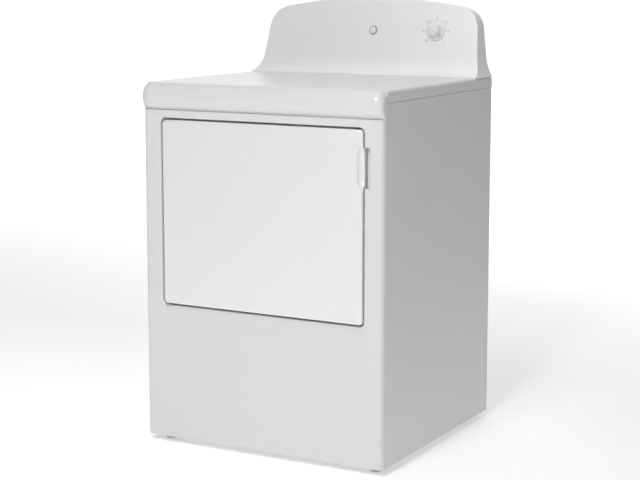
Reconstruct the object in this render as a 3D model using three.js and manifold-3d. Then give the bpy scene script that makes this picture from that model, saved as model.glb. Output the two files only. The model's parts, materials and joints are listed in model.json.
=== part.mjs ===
// Clothes dryer, free-standing, with a side-swing front door and a raised console.
// Millimetres, +Z up, +X to the right of a person facing the door, +Y from the door to the back.
// Inside this file Y is counted from the most forward point; the group is centred at the end.
import * as THREE from 'three';
import { mergeVertices } from 'three/addons/utils/BufferGeometryUtils.js';
import Module from 'manifold-3d';

const wasm = await Module();
wasm.setup();

// ---- Driving dimensions -------------------------------------------------------------------
const cabinetWidth = 686;
const worktopHeight = 936;
const bodyDepth = 653;
const baseHeight = 18;
const sheet = 1.2;
const touch = 0.3;
const seam = 0.6;

const browStandOff = 12;
const browHeight = 56;
const browTopRadius = 24;
const coveHeight = 27;
const coveDepth = 6;
const cornerRadius = 14;
const frontReturn = 30;
const topEdgeRadius = 10;
const topSkirt = 30;

const doorWidth = 572;
const doorHeight = 472;
const doorTopDrop = 94;
const doorThickness = 22;
const doorGap = 5;
const doorCorner = 10;
const hingeInset = 12;
const hingePinRadius = 3;
const hingePinLength = 18;
const hingePlate = 2.5;
const pocketDepth = 28;

const throatSideMargin = 66;
const throatEndMargin = 46;
const throatCorner = 60;
const plugMargin = 20;
const plugDepth = 26;
const sealWidth = 15;
const sealMargin = 15;

const gripHeight = 98;
const gripWidth = 16;
const gripDepth = 20;
const gripRise = 140;
const gripBevel = 20;
const gripBevelDepth = 9;

const drumRadius = 319;
const drumCentreHeight = 590;
const drumFront = 100;
const drumLength = 460;
const drumFacets = 72;
const drumFloorRingWidth = 52;
const ringInset = 9;
const baffleHeight = 78;
const baffleWidth = 70;
const baffleEndGap = 34;
const baffleCount = 3;

const frontBulkheadY = 76;
const rollerRadius = 38;
const rollerWidth = 22;
const rollerAngle = 35;
const rollerShaftRadius = 6;

const filterSideMargin = 11;
const filterDepthDown = 226;
const filterThickness = 7;
const filterCentreY = 68;
const slotClearance = 1.5;
const ductDepth = 30;

const motorX = -150;
const motorHeight = 135;
const motorRadius = 68;
const motorFront = 175;
const motorLength = 135;
const shaftRadius = 6;
const bearingClearance = 0.4;
const pulleyRadius = 11;
const pulleyFlange = 15;
const beltWidth = 10;
const beltThickness = 2.4;
const beltY = 343;
const idlerRadius = 30;
const idlerAside = 102;
const idlerHeight = 185;
const idlerPivotAside = 60;
const idlerPivotHeight = 75;
const armThickness = 3;

const blowerRadius = 108;
const blowerDepth = 71;
const wheelRadius = 88;
const wheelBlades = 12;
const inletRadius = 62;
const exhaustRadius = 51;
const exhaustHeight = 88;
const exhaustStandOut = 35;

const heaterX = 150;
const heaterWidth = 150;
const heaterBottom = 330;
const heaterTop = 790;
const heaterDepth = 76;
const inletHeight = 700;
const inletHoles = 4;
const inletPitch = 30;
const inletHoleRadius = 10;

const consoleHeight = 206;
const consoleBaseDepth = 108;
const consoleNeckSweep = 45;
const consoleLean = 34;
const consoleNeck = 54;
const consoleWaist = 25;
const consoleTaper = 31;
const consoleShoulder = 82;
const consoleCrown = 24;
const consoleWall = 2.5;
const knobX = 199;
const knobHeight = 118;
const knobRadius = 26;
const buttonX = 10;
const buttonRadius = 10;
const worktopStep = 2;

const footRadius = 17;
const footPad = 9;
const footStudRadius = 4.5;
const footStudLength = 31;
const footInsetX = 42;
const footInsetY = 34;

// ---- Values worked out from the driving dimensions ------------------------------------------
const halfWidth = cabinetWidth / 2;
const consoleTop = worktopHeight + consoleHeight;
const throatWidth = doorWidth - 2 * throatSideMargin;
const throatHeight = doorHeight - 2 * throatEndMargin;
const filterWidth = throatWidth - 2 * (throatCorner + filterSideMargin);
const ringRadius = drumRadius - ringInset;
const faceY = browStandOff;
const doorTop = worktopHeight - doorTopDrop;
const doorMidZ = doorTop - doorHeight / 2;
const pocketFloorY = faceY + pocketDepth;
const doorBackY = faceY + doorThickness;
const pocketWidth = doorWidth + 2 * doorGap;
const pocketHeight = doorHeight + 2 * doorGap;
const sidePanelTop = worktopHeight - topSkirt - seam;
const sideFront = frontReturn + 0.5;
const rearInnerY = bodyDepth - sheet;
const sideRearY = rearInnerY - touch;
const rearBulkheadY = drumFront + drumLength + 2;
const drumRear = drumFront + drumLength;
const facetShrink = Math.cos(Math.PI / drumFacets);
const drumInner = (drumRadius - sheet) * facetShrink;
const hingeX = -doorWidth / 2 + hingeInset;
const hingeY = faceY + 6;
const totalDepth = bodyDepth + exhaustStandOut;
const idlerX = motorX + idlerAside;
const idlerPivotX = motorX + idlerPivotAside;

// ---- Finishes -------------------------------------------------------------------------------
const finish = (color, roughness, metalness) => (
  new THREE.MeshStandardMaterial({ color, roughness, metalness })
);
const enamel = finish(0xe9eaeb, 0.35, 0.0);
const linerEnamel = finish(0xdfe1e2, 0.45, 0.0);
const galvanised = finish(0xb3b7ba, 0.45, 0.8);
const aluminised = finish(0xc4c6c6, 0.4, 0.85);
const steel = finish(0x9a9c9e, 0.35, 0.9);
const darkSteel = finish(0x4b4d50, 0.5, 0.7);
const whitePlastic = finish(0xf0f1f1, 0.3, 0.0);
const greyPlastic = finish(0x8e9194, 0.5, 0.0);
const blackPlastic = finish(0x26272a, 0.55, 0.0);
const felt = finish(0xcfcabd, 0.95, 0.0);
const rubber = finish(0x2b2b2c, 0.85, 0.0);

// ---- Solids ---------------------------------------------------------------------------------
function solid(geometry) {
  const bare = geometry.clone();
  bare.deleteAttribute('normal');
  bare.deleteAttribute('uv');
  const merged = mergeVertices(bare, 1e-4);
  const vertProperties = new Float32Array(merged.attributes.position.array);
  const triVerts = new Uint32Array(merged.index.array);
  return new wasm.Manifold(new wasm.Mesh({ numProp: 3, vertProperties, triVerts }));
}

function geometryOf(manifold) {
  const mesh = manifold.getMesh();
  const geometry = new THREE.BufferGeometry();
  geometry.setAttribute('position', new THREE.BufferAttribute(new Float32Array(mesh.vertProperties), 3));
  geometry.setIndex(new THREE.BufferAttribute(new Uint32Array(mesh.triVerts), 1));
  geometry.computeVertexNormals();
  return geometry;
}

function box(x0, x1, y0, y1, z0, z1) {
  const geometry = new THREE.BoxGeometry(x1 - x0, y1 - y0, z1 - z0);
  return solid(geometry.translate((x0 + x1) / 2, (y0 + y1) / 2, (z0 + z1) / 2));
}

function cylinderY(radius, x, z, y0, y1, facets = 24) {
  const geometry = new THREE.CylinderGeometry(radius, radius, y1 - y0, facets);
  return solid(geometry.translate(x, (y0 + y1) / 2, z));
}

function cylinderZ(radius, x, y, z0, z1, facets = 16) {
  const geometry = new THREE.CylinderGeometry(radius, radius, z1 - z0, facets).rotateX(Math.PI / 2);
  return solid(geometry.translate(x, y, (z0 + z1) / 2));
}

function cylinderX(radius, y, z, x0, x1, facets = 16) {
  const geometry = new THREE.CylinderGeometry(radius, radius, x1 - x0, facets).rotateZ(Math.PI / 2);
  return solid(geometry.translate((x0 + x1) / 2, y, z));
}

function ringY(outer, inner, x, z, y0, y1, facets) {
  return cylinderY(outer, x, z, y0, y1, facets).subtract(cylinderY(inner, x, z, y0 - 1, y1 + 1, facets));
}

const flatExtrude = (shape, depth, curveSegments) =>
  new THREE.ExtrudeGeometry(shape, { depth, bevelEnabled: false, curveSegments });

// A shape drawn in (x, z), running from y0 to y1.
function alongY(shape, y0, y1, curveSegments = 4) {
  return solid(flatExtrude(shape, y1 - y0, curveSegments).rotateX(Math.PI / 2).translate(0, y1, 0));
}

// A shape drawn in (y, z), running from x0 to x1.
function alongX(shape, x0, x1, curveSegments = 4) {
  const turn = new THREE.Matrix4().makeBasis(
    new THREE.Vector3(0, 1, 0),
    new THREE.Vector3(0, 0, 1),
    new THREE.Vector3(1, 0, 0),
  );
  return solid(flatExtrude(shape, x1 - x0, curveSegments).applyMatrix4(turn).translate(x0, 0, 0));
}

// A shape drawn in (x, y), running from z0 to z1.
function alongZ(shape, z0, z1, curveSegments = 4) {
  return solid(flatExtrude(shape, z1 - z0, curveSegments).translate(0, 0, z0));
}

function polygon(points) {
  const shape = new THREE.Shape();
  shape.setFromPoints(points.map(([u, v]) => new THREE.Vector2(u, v)));
  return shape;
}

function roundedRect(width, height, radius, u = 0, v = 0) {
  const r = Math.max(0.1, Math.min(radius, width / 2 - 0.1, height / 2 - 0.1));
  const [l, b] = [u - width / 2, v - height / 2];
  const [e, t] = [l + width, b + height];
  const shape = new THREE.Shape();
  shape.moveTo(l + r, b);
  shape.lineTo(e - r, b);
  shape.absarc(e - r, b + r, r, -Math.PI / 2, 0);
  shape.lineTo(e, t - r);
  shape.absarc(e - r, t - r, r, 0, Math.PI / 2);
  shape.lineTo(l + r, t);
  shape.absarc(l + r, t - r, r, Math.PI / 2, Math.PI);
  shape.lineTo(l, b + r);
  shape.absarc(l + r, b + r, r, Math.PI, Math.PI * 1.5);
  return shape;
}

// ---- Assembly -------------------------------------------------------------------------------
const group = new THREE.Group();

function place(name, manifold, material, parent = group) {
  const mesh = new THREE.Mesh(geometryOf(manifold), material);
  mesh.name = name;
  parent.add(mesh);
  return mesh;
}

// ---- Cabinet --------------------------------------------------------------------------------
function basePan() {
  const [half, y0, y1] = [halfWidth - sheet - touch, frontReturn + 2 + touch, sideRearY - sheet - touch];
  const rim = exhaustHeight - exhaustRadius - baseHeight - 3;
  const outer = box(-half, half, y0, y1, baseHeight, baseHeight + rim);
  const inner = box(
    -half + sheet, half - sheet, y0 + sheet, y1 - sheet, baseHeight + sheet, baseHeight + rim + 1,
  );
  let pan = outer.subtract(inner);
  for (const [x, y] of footPlaces()) {
    pan = pan.subtract(cylinderZ(footStudRadius + 0.7, x, y, baseHeight - 1, baseHeight + sheet + 1));
  }
  place('base_pan', pan, galvanised);
}

function footPlaces() {
  const [x, y0, y1] = [halfWidth - footInsetX, frontReturn + footInsetY, bodyDepth - footInsetY];
  return [[-x, y0], [x, y0], [-x, y1], [x, y1]];
}

function levellingFeet() {
  const names = ['front_left_foot', 'front_right_foot', 'rear_left_foot', 'rear_right_foot'];
  footPlaces().forEach(([x, y], i) => {
    const pad = cylinderZ(footRadius, x, y, 0, footPad, 20);
    const stud = cylinderZ(footStudRadius, x, y, footPad - 1, footPad + footStudLength, 12);
    place(names[i], pad.add(stud), greyPlastic);
  });
}

function sidePanel(side) {
  const flange = 24;
  const [o, i] = [side * halfWidth, side * (halfWidth - sheet)];
  const edge = side * (halfWidth - flange);
  const shape = polygon([
    [o, sideFront], [o, sideRearY], [edge, sideRearY], [edge, sideRearY - sheet],
    [i, sideRearY - sheet], [i, sideFront + sheet], [edge, sideFront + sheet], [edge, sideFront],
  ]);
  place(side < 0 ? 'left_side_panel' : 'right_side_panel', alongZ(shape, baseHeight, sidePanelTop), enamel);
}

function consoleFrontY() {
  return bodyDepth - consoleBaseDepth;
}

function topForm(inset, below) {
  const outline = new THREE.Shape();
  const [half, top, r] = [halfWidth - inset, worktopHeight - inset, topEdgeRadius - inset];
  const bottom = worktopHeight - topSkirt - below;
  outline.moveTo(-half, bottom);
  outline.lineTo(half, bottom);
  outline.lineTo(half, top - r);
  outline.absarc(half - r, top - r, r, 0, Math.PI / 2);
  outline.lineTo(-half + r, top);
  outline.absarc(-half + r, top - r, r, Math.PI / 2, Math.PI);
  const form = alongY(outline, sideFront + inset, bodyDepth - inset, 4);
  const stepY = consoleFrontY() - 2 - inset;
  const step = box(-cabinetWidth, cabinetWidth, stepY, bodyDepth + 1, top - worktopStep, top + 1);
  return form.subtract(step);
}

function topPanel() {
  const wiring = box(-40, 40, bodyDepth - 70, bodyDepth - 40, worktopHeight - 20, worktopHeight + 1);
  place('top_panel', topForm(0, 0).subtract(topForm(sheet, 1)).subtract(wiring), enamel);
}

function rearPanel() {
  const half = halfWidth - 1;
  let panel = box(-half, half, rearInnerY, bodyDepth, baseHeight, sidePanelTop - 1);
  panel = panel.subtract(
    cylinderY(exhaustRadius + 1.5, 0, exhaustHeight, rearInnerY - 1, bodyDepth + 1, 32),
  );
  panel = panel.subtract(
    box(...terminalHole(), rearInnerY - 1, bodyDepth + 1, terminalZ - 24, terminalZ + 24),
  );
  for (let row = 0; row < 5; row += 1) {
    const z = 430 + row * 26;
    panel = panel.subtract(box(-210, -90, rearInnerY - 1, bodyDepth + 1, z, z + 8));
  }
  place('rear_panel', panel, galvanised);
}

// ---- Front panel ----------------------------------------------------------------------------
function planOutline(half, front, radius, back) {
  const shape = new THREE.Shape();
  shape.moveTo(-half, back);
  shape.lineTo(-half, front + radius);
  shape.absarc(-half + radius, front + radius, radius, Math.PI, Math.PI * 1.5);
  shape.lineTo(half - radius, front);
  shape.absarc(half - radius, front + radius, radius, Math.PI * 1.5, Math.PI * 2);
  shape.lineTo(half, back);
  return shape;
}

function browProfile(inset, back) {
  const top = worktopHeight - inset;
  const r = browTopRadius - inset;
  const coveBottom = worktopHeight - browHeight - coveHeight;
  const shape = new THREE.Shape();
  shape.moveTo(back, coveBottom);
  shape.lineTo(faceY + inset, coveBottom);
  shape.quadraticCurveTo(
    faceY + coveDepth + inset, coveBottom + 4, faceY + coveDepth - 1 + inset, coveBottom + coveHeight * 0.5,
  );
  shape.quadraticCurveTo(
    inset + 1, coveBottom + coveHeight * 0.75, inset, coveBottom + coveHeight + 6 + inset,
  );
  shape.lineTo(inset, top - r);
  shape.absarc(inset + r, top - r, r, Math.PI, Math.PI / 2, true);
  shape.lineTo(back, top);
  return shape;
}

function frontForm(inset, back) {
  const coveBottom = worktopHeight - browHeight - coveHeight;
  const half = halfWidth - inset;
  const lower = alongZ(
    planOutline(half, faceY + inset, cornerRadius - inset, back), baseHeight + inset, coveBottom + 1,
  );
  const plan = alongZ(
    planOutline(half, inset, cornerRadius + 4 - inset, back), coveBottom - 1, worktopHeight + 1,
  );
  const elevation = alongY(
    roundedRect(2 * half, 120, topEdgeRadius - inset, 0, worktopHeight - inset - 60), -1, back + 1, 4,
  );
  const brow = alongX(browProfile(inset, back), -halfWidth - 1, halfWidth + 1).intersect(plan);
  return lower.add(brow.intersect(elevation));
}

function gripBox(margin, y0, y1) {
  const x0 = doorWidth / 2;
  const z0 = doorTop - gripRise - margin;
  return box(x0 - 4, x0 + doorGap + gripWidth + margin, y0, y1, z0, z0 + gripHeight + 2 * margin);
}

function frontPanel() {
  let panel = frontForm(0, frontReturn).subtract(frontForm(sheet, frontReturn + 1));
  const tub = roundedRect(
    pocketWidth + 2 * sheet, pocketHeight + 2 * sheet, doorCorner + sheet + doorGap, 0, doorMidZ,
  );
  const cavity = roundedRect(pocketWidth, pocketHeight, doorCorner + doorGap, 0, doorMidZ);
  panel = panel.add(alongY(tub, faceY + 0.5, pocketFloorY + sheet));
  panel = panel.add(gripBox(sheet, faceY + 0.5, faceY + gripDepth + sheet));
  panel = panel.subtract(alongY(cavity, -1, pocketFloorY));
  panel = panel.subtract(gripBox(0, -1, faceY + gripDepth));
  panel = panel.subtract(throat(0, pocketFloorY - 1, pocketFloorY + 3));
  panel = panel.subtract(
    box(catchX - 7, catchX + 7, pocketFloorY - 1, pocketFloorY + 3, doorMidZ - 14, doorMidZ + 14),
  );
  panel = panel.subtract(cylinderY(switchPin + 1, catchX, switchZ, pocketFloorY - 1, pocketFloorY + 3, 12));
  place('front_panel', panel, enamel);
}

function throat(offset, y0, y1) {
  const outline = roundedRect(
    throatWidth + 2 * offset, throatHeight + 2 * offset, throatCorner + offset, 0, doorMidZ,
  );
  return alongY(outline, y0, y1, 6);
}

// ---- Door -----------------------------------------------------------------------------------
const catchX = doorWidth / 2 - 24;
const switchZ = doorMidZ + 104;
const switchPin = 3;

function doorForm(inset, back) {
  const outline = roundedRect(
    doorWidth - 2 * inset, doorHeight - 2 * inset, doorCorner - inset, 0, doorMidZ,
  );
  const form = alongY(outline, faceY + inset, back);
  const z0 = doorTop - gripRise + inset;
  const bevel = polygon([
    [doorWidth / 2 - gripBevel - inset, faceY - 1],
    [doorWidth / 2 - gripBevel - inset, faceY + inset],
    [doorWidth / 2 - inset, faceY + gripBevelDepth + inset],
    [doorWidth / 2 + 1, faceY + gripBevelDepth + inset],
    [doorWidth / 2 + 1, faceY - 1],
  ]);
  return form.subtract(alongZ(bevel, z0 - 2 * inset, z0 + gripHeight));
}

function doorOuterPanel() {
  let panel = doorForm(0, doorBackY).subtract(doorForm(sheet, doorBackY + 1));
  const reach = hingePinRadius + bearingClearance;
  panel = panel.subtract(
    cylinderZ(reach, hingeX, hingeY, doorTop - doorHeight - 1, doorTop - doorHeight + 5),
  );
  panel = panel.subtract(cylinderZ(reach, hingeX, hingeY, doorTop - 5, doorTop + 1));
  place('door_outer_panel', panel, enamel);
}

function doorInnerPanel() {
  const back = doorBackY - touch;
  const [w, h] = [doorWidth - 2 * (sheet + touch), doorHeight - 2 * (sheet + touch)];
  const plate = alongY(roundedRect(w, h, doorCorner - sheet - touch, 0, doorMidZ), back - sheet, back);
  const [pw, ph] = [throatWidth - 2 * plugMargin, throatHeight - 2 * plugMargin];
  const plugOuter = alongY(
    roundedRect(pw, ph, throatCorner - 10, 0, doorMidZ), back - sheet, doorBackY + plugDepth,
  );
  const plugInner = alongY(
    roundedRect(pw - 2 * sheet, ph - 2 * sheet, throatCorner - 10 - sheet, 0, doorMidZ),
    back - 3, doorBackY + plugDepth - sheet,
  );
  place('door_inner_panel', plate.add(plugOuter).subtract(plugInner), linerEnamel);
}

function doorSeal() {
  const inner = [throatWidth + 2 * sealMargin, throatHeight + 2 * sealMargin, throatCorner + sealMargin];
  const outer = roundedRect(
    inner[0] + 2 * sealWidth, inner[1] + 2 * sealWidth, inner[2] + sealWidth, 0, doorMidZ,
  );
  const ring = alongY(outer, doorBackY, pocketFloorY - touch);
  place(
    'door_seal',
    ring.subtract(alongY(roundedRect(...inner, 0, doorMidZ), doorBackY - 1, pocketFloorY + 1)), felt,
  );
}

function doorHinge(name, side) {
  const edge = doorMidZ + side * (doorHeight / 2 + 1);
  const [za, zb] = [edge, edge + side * hingePlate];
  const plate = box(
    hingeX - 7, hingeX + 11, faceY + 1, pocketFloorY - touch, Math.min(za, zb), Math.max(za, zb),
  );
  const tip = edge - side * hingePinLength;
  const pin = cylinderZ(hingePinRadius, hingeX, hingeY, Math.min(tip, zb), Math.max(tip, zb));
  place(name, plate.add(pin), steel);
}

function doorStrikeAndCatch() {
  const foot = box(catchX - 9, catchX + 9, doorBackY, doorBackY + 2, doorMidZ - 16, doorMidZ + 16);
  const tongue = box(
    catchX - 1.5, catchX + 1.5, doorBackY + 1, doorBackY + 18, doorMidZ - 10, doorMidZ + 10,
  );
  place('door_strike', foot.add(tongue), steel);
  const y0 = pocketFloorY + sheet + touch;
  const cup = box(catchX - 12, catchX + 12, y0, y0 + 17, doorMidZ - 20, doorMidZ + 20);
  const mouth = box(catchX - 7, catchX + 7, y0 - 1, y0 + 15, doorMidZ - 14, doorMidZ + 14);
  place('door_catch', cup.subtract(mouth), whitePlastic);
}

function doorSwitch() {
  const y0 = pocketFloorY + sheet + touch;
  const body = box(catchX - 11, catchX + 11, y0, y0 + 22, switchZ - 18, switchZ + 18);
  const bore = cylinderY(switchPin + bearingClearance, catchX, switchZ, y0 - 1, y0 + 16, 12);
  place('door_switch', body.subtract(bore), blackPlastic);
  place('door_switch_plunger', cylinderY(switchPin, catchX, switchZ, doorBackY, y0 + 10, 12), whitePlastic);
}

// ---- Drum and bulkheads ---------------------------------------------------------------------
function bulkheadPlate(y0) {
  const half = halfWidth - sheet - 4;
  return box(-half, half, y0, y0 + sheet, baseHeight + 26, sidePanelTop - 4);
}

function frontBulkhead() {
  const y0 = frontBulkheadY;
  const ringEnd = drumFront + 28;
  let panel = bulkheadPlate(y0);
  panel = panel.add(ringY(ringRadius, ringRadius - sheet, 0, drumCentreHeight, y0, ringEnd, drumFacets));
  panel = panel.add(throat(sheet, pocketFloorY + sheet + touch, y0 + sheet));
  panel = panel.subtract(throat(0, pocketFloorY, y0 + sheet + 1));
  const slotHalf = filterWidth / 2 + slotClearance;
  const slotY = filterThickness / 2 + slotClearance;
  const floorZ = doorMidZ - throatHeight / 2;
  panel = panel.subtract(
    box(-slotHalf, slotHalf, filterCentreY - slotY, filterCentreY + slotY, floorZ - 4, floorZ + 2),
  );
  panel = panel.subtract(cylinderY(inletRadius, motorX, motorHeight, y0 - 1, y0 + sheet + 1, 32));
  place('front_bulkhead', panel, galvanised);
}

function rearBulkhead() {
  const y0 = rearBulkheadY;
  const ringStart = drumRear - 32;
  let panel = bulkheadPlate(y0);
  panel = panel.add(
    ringY(ringRadius, ringRadius - sheet, 0, drumCentreHeight, ringStart, y0 + sheet, drumFacets),
  );
  for (let row = 0; row < inletHoles; row += 1) {
    for (let column = 0; column < inletHoles; column += 1) {
      const [x, z] = [
        heaterX + inletPitch * (column - (inletHoles - 1) / 2),
        inletHeight + inletPitch * (row - (inletHoles - 1) / 2),
      ];
      panel = panel.subtract(cylinderY(inletHoleRadius, x, z, y0 - 1, y0 + sheet + 1, 8));
    }
  }
  panel = panel.subtract(cylinderY(exhaustRadius + 1.5, 0, exhaustHeight, y0 - 1, y0 + sheet + 1, 32));
  place('rear_bulkhead', panel, galvanised);
}

function drumSeals() {
  const outer = drumInner - 0.5;
  const inner = ringRadius + 0.4;
  const z = drumCentreHeight;
  place('drum_front_seal', ringY(outer, inner, 0, z, drumFront + 2, drumFront + 12, drumFacets), felt);
  place('drum_rear_seal', ringY(outer, inner, 0, z, drumRear - 12, drumRear - 2, drumFacets), felt);
}

function drumGlide(name, side) {
  const [r0, r1] = [ringRadius + 0.4, drumInner - 0.5];
  const middle = -Math.PI / 2 + side * THREE.MathUtils.degToRad(rollerAngle);
  const half = THREE.MathUtils.degToRad(9);
  const shape = new THREE.Shape();
  shape.absarc(0, drumCentreHeight, r1, middle - half, middle + half, false);
  shape.absarc(0, drumCentreHeight, r0, middle + half, middle - half, true);
  place(name, alongY(shape, drumFront + 14, drumFront + 27, 4), whitePlastic);
}

function drum() {
  const z = drumCentreHeight;
  place('drum', ringY(drumRadius, drumRadius - sheet, 0, z, drumFront, drumRear, drumFacets), linerEnamel);
  const reach = Math.sqrt((drumInner - touch) ** 2 - (baffleWidth / 2) ** 2);
  const section = polygon([
    [-baffleWidth / 2, -reach], [baffleWidth / 2, -reach],
    [baffleWidth * 0.2, -reach + baffleHeight * 0.55], [baffleWidth * 0.1, -reach + baffleHeight],
    [-baffleWidth * 0.1, -reach + baffleHeight], [-baffleWidth * 0.2, -reach + baffleHeight * 0.55],
  ]);
  for (let i = 0; i < baffleCount; i += 1) {
    const lifter = place(
      `baffle_${i + 1}`, alongY(section, drumFront + baffleEndGap, drumRear - baffleEndGap),
      whitePlastic,
    );
    lifter.position.set(0, 0, z);
    lifter.rotation.y = (i * 2 * Math.PI) / baffleCount;
  }
}

function drumRoller(side) {
  const name = side < 0 ? 'left' : 'right';
  const angle = THREE.MathUtils.degToRad(rollerAngle);
  const reach = drumRadius + rollerRadius + 0.4;
  const [x, z] = [side * reach * Math.sin(angle), drumCentreHeight - reach * Math.cos(angle)];
  const y1 = drumRear - 8;
  const bore = rollerShaftRadius + bearingClearance;
  place(`${name}_drum_roller`, ringY(rollerRadius, bore, x, z, y1 - rollerWidth, y1, 24), rubber);
  const shaft = cylinderY(rollerShaftRadius, x, z, y1 - rollerWidth - 10, rearBulkheadY - touch, 16);
  const collar = cylinderY(rollerShaftRadius + 5, x, z, y1 + 0.5, rearBulkheadY - touch, 16);
  place(`${name}_roller_shaft`, shaft.add(collar), steel);
}

// ---- Belt drive -----------------------------------------------------------------------------
// Circles the belt runs round: centre, pitch radius, and +1 inside the loop or -1 outside it.
function beltCircles() {
  const half = beltThickness / 2;
  return [
    { x: 0, z: drumCentreHeight, r: drumRadius + 0.6 + half, sign: 1 },
    { x: motorX, z: motorHeight, r: pulleyRadius + 0.4 + half, sign: 1 },
    { x: idlerX, z: idlerHeight, r: idlerRadius + 0.4 + half, sign: -1 },
  ];
}

// Where a taut line leaves circle a and meets circle b, for a loop run anticlockwise.
function tangent(a, b) {
  const [dx, dz] = [b.x - a.x, b.z - a.z];
  const length = Math.hypot(dx, dz);
  const heading = Math.atan2(dz, dx) + Math.asin((a.sign * a.r - b.sign * b.r) / length);
  const normal = heading - Math.PI / 2;
  const at = (c) => ({
    x: c.x + c.sign * c.r * Math.cos(normal),
    z: c.z + c.sign * c.r * Math.sin(normal),
  });
  return { from: at(a), to: at(b) };
}

function beltOutline(offset) {
  const circles = beltCircles();
  const spans = circles.map((c, i) => tangent(c, circles[(i + 1) % circles.length]));
  const points = [];
  circles.forEach((c, i) => {
    const arrive = spans[(i + circles.length - 1) % circles.length].to;
    const leave = spans[i].from;
    const start = Math.atan2(arrive.z - c.z, arrive.x - c.x);
    let sweep = Math.atan2(leave.z - c.z, leave.x - c.x) - start;
    while (sweep * c.sign < 0) {
      sweep += c.sign * 2 * Math.PI;
    }
    const steps = Math.max(
      4, Math.round((Math.abs(sweep) / (2 * Math.PI)) * (c.r > 100 ? drumFacets : 28)),
    );
    const radius = c.r + c.sign * offset;
    for (let k = 0; k <= steps; k += 1) {
      const angle = start + (sweep * k) / steps;
      points.push([c.x + radius * Math.cos(angle), c.z + radius * Math.sin(angle)]);
    }
  });
  return polygon(points);
}

function driveBelt() {
  const [y0, y1] = [beltY - beltWidth / 2, beltY + beltWidth / 2];
  const outer = alongY(beltOutline(beltThickness / 2), y0, y1);
  place('drive_belt', outer.subtract(alongY(beltOutline(-beltThickness / 2), y0 - 1, y1 + 1)), rubber);
}

function motor() {
  const [x, z, y0, y1] = [motorX, motorHeight, motorFront, motorFront + motorLength];
  const bore = cylinderY(shaftRadius + bearingClearance, x, z, y0 - 20, y1 + 20, 16);
  const can = cylinderY(motorRadius, x, z, y0, y1, 32).add(
    cylinderY(motorRadius - 18, x, z, y0 - 10, y1 + 10, 32),
  );
  place('motor', can.subtract(bore), darkSteel);
  const floor = baseHeight + sheet + touch;
  const feet = [[y0 + 12, y0 + 15], [y1 - 15, y1 - 12]];
  let bracket = box(x - 70, x + 95, y0, beltY + 28, floor, floor + 2);
  for (const [a, b] of feet) {
    bracket = bracket.add(box(x - 52, x + 52, a, b, floor, z - 20));
  }
  bracket = bracket.subtract(cylinderY(motorRadius + touch, x, z, y0 - 1, y1 + 1, 32));
  const armBack = beltY + 14;
  bracket = bracket.add(
    box(
      idlerPivotX - 12, idlerPivotX + 12, armBack + touch, armBack + 3 + touch, floor,
      idlerPivotHeight + 12,
    ),
  );
  bracket = bracket.add(
    cylinderY(5, idlerPivotX, idlerPivotHeight, armBack - armThickness - 3, armBack + 1, 16),
  );
  bracket = bracket.add(box(springEndX - 3, springEndX, armBack - 5, armBack + 3, floor, springZ + 8));
  place('motor_bracket', bracket, galvanised);
}

function motorRotor() {
  const [x, z] = [motorX, motorHeight];
  const end = beltY + beltWidth / 2 + 4;
  place('motor_shaft', cylinderY(shaftRadius, x, z, frontBulkheadY + 16, end, 16), steel);
  const grip = shaftRadius + bearingClearance;
  const [g0, g1] = [beltY - beltWidth / 2 - 0.4, beltY + beltWidth / 2 + 0.4];
  const core = cylinderY(pulleyRadius, x, z, g0 - 3, g1 + 3, 20);
  const flanges = cylinderY(pulleyFlange, x, z, g0 - 3, g0, 20).add(
    cylinderY(pulleyFlange, x, z, g1, g1 + 3, 20),
  );
  place('motor_pulley', core.add(flanges).subtract(cylinderY(grip, x, z, g0 - 9, g1 + 9, 16)), steel);
  blowerWheel(grip);
}

const springEndX = motorX + 32;
const springZ = 135;

function idler() {
  const armBack = beltY + 14;
  const armFront = armBack - armThickness;
  const heading = Math.atan2(idlerHeight - idlerPivotHeight, idlerX - idlerPivotX);
  const length = Math.hypot(idlerHeight - idlerPivotHeight, idlerX - idlerPivotX);
  const outline = roundedRect(length + 22, 22, 11, length / 2, 0);
  const bar = alongY(outline, armFront, armBack - touch, 5)
    .rotate([0, THREE.MathUtils.radToDeg(-heading), 0])
    .translate([idlerPivotX, 0, idlerPivotHeight]);
  const bore = cylinderY(
    5 + bearingClearance, idlerPivotX, idlerPivotHeight, armFront - 1, armBack + 1, 16,
  );
  const axle = cylinderY(5, idlerX, idlerHeight, beltY - beltWidth / 2 - 3, armFront + 1, 16);
  place('idler_arm', bar.subtract(bore).add(axle), galvanised);
  const [p0, p1] = [beltY - beltWidth / 2 - 1, beltY + beltWidth / 2 + 1];
  place(
    'idler_pulley', ringY(idlerRadius, 5 + bearingClearance, idlerX, idlerHeight, p0, p1, 28),
    whitePlastic,
  );
  const along = (springZ - idlerPivotHeight) / (idlerHeight - idlerPivotHeight);
  const meet = idlerPivotX + along * (idlerX - idlerPivotX) - 13;
  place('idler_spring', cylinderX(4, armBack - 2, springZ, springEndX + touch, meet - touch, 12), steel);
}

// ---- Air path -------------------------------------------------------------------------------
function blowerForm(inset, y0, y1) {
  const round = cylinderY(blowerRadius - inset, motorX, motorHeight, y0, y1, 36);
  const reach = exhaustRadius + 9 - inset;
  return round.add(box(motorX, reach, y0, y1, exhaustHeight - reach, exhaustHeight + reach));
}

function blowerHousing() {
  const [y0, y1] = [frontBulkheadY + 3, frontBulkheadY + 3 + blowerDepth];
  let housing = blowerForm(0, y0, y1).subtract(blowerForm(2, y0 + 2, y1 - 2));
  housing = housing.subtract(cylinderY(inletRadius, motorX, motorHeight, y0 - 1, y0 + 3, 32));
  housing = housing.subtract(cylinderY(shaftRadius + 3, motorX, motorHeight, y1 - 3, y1 + 1, 16));
  housing = housing.subtract(cylinderY(exhaustRadius - 1, 0, exhaustHeight, y1 - 3, y1 + 1, 32));
  place('blower_housing', housing, greyPlastic);
}

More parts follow.
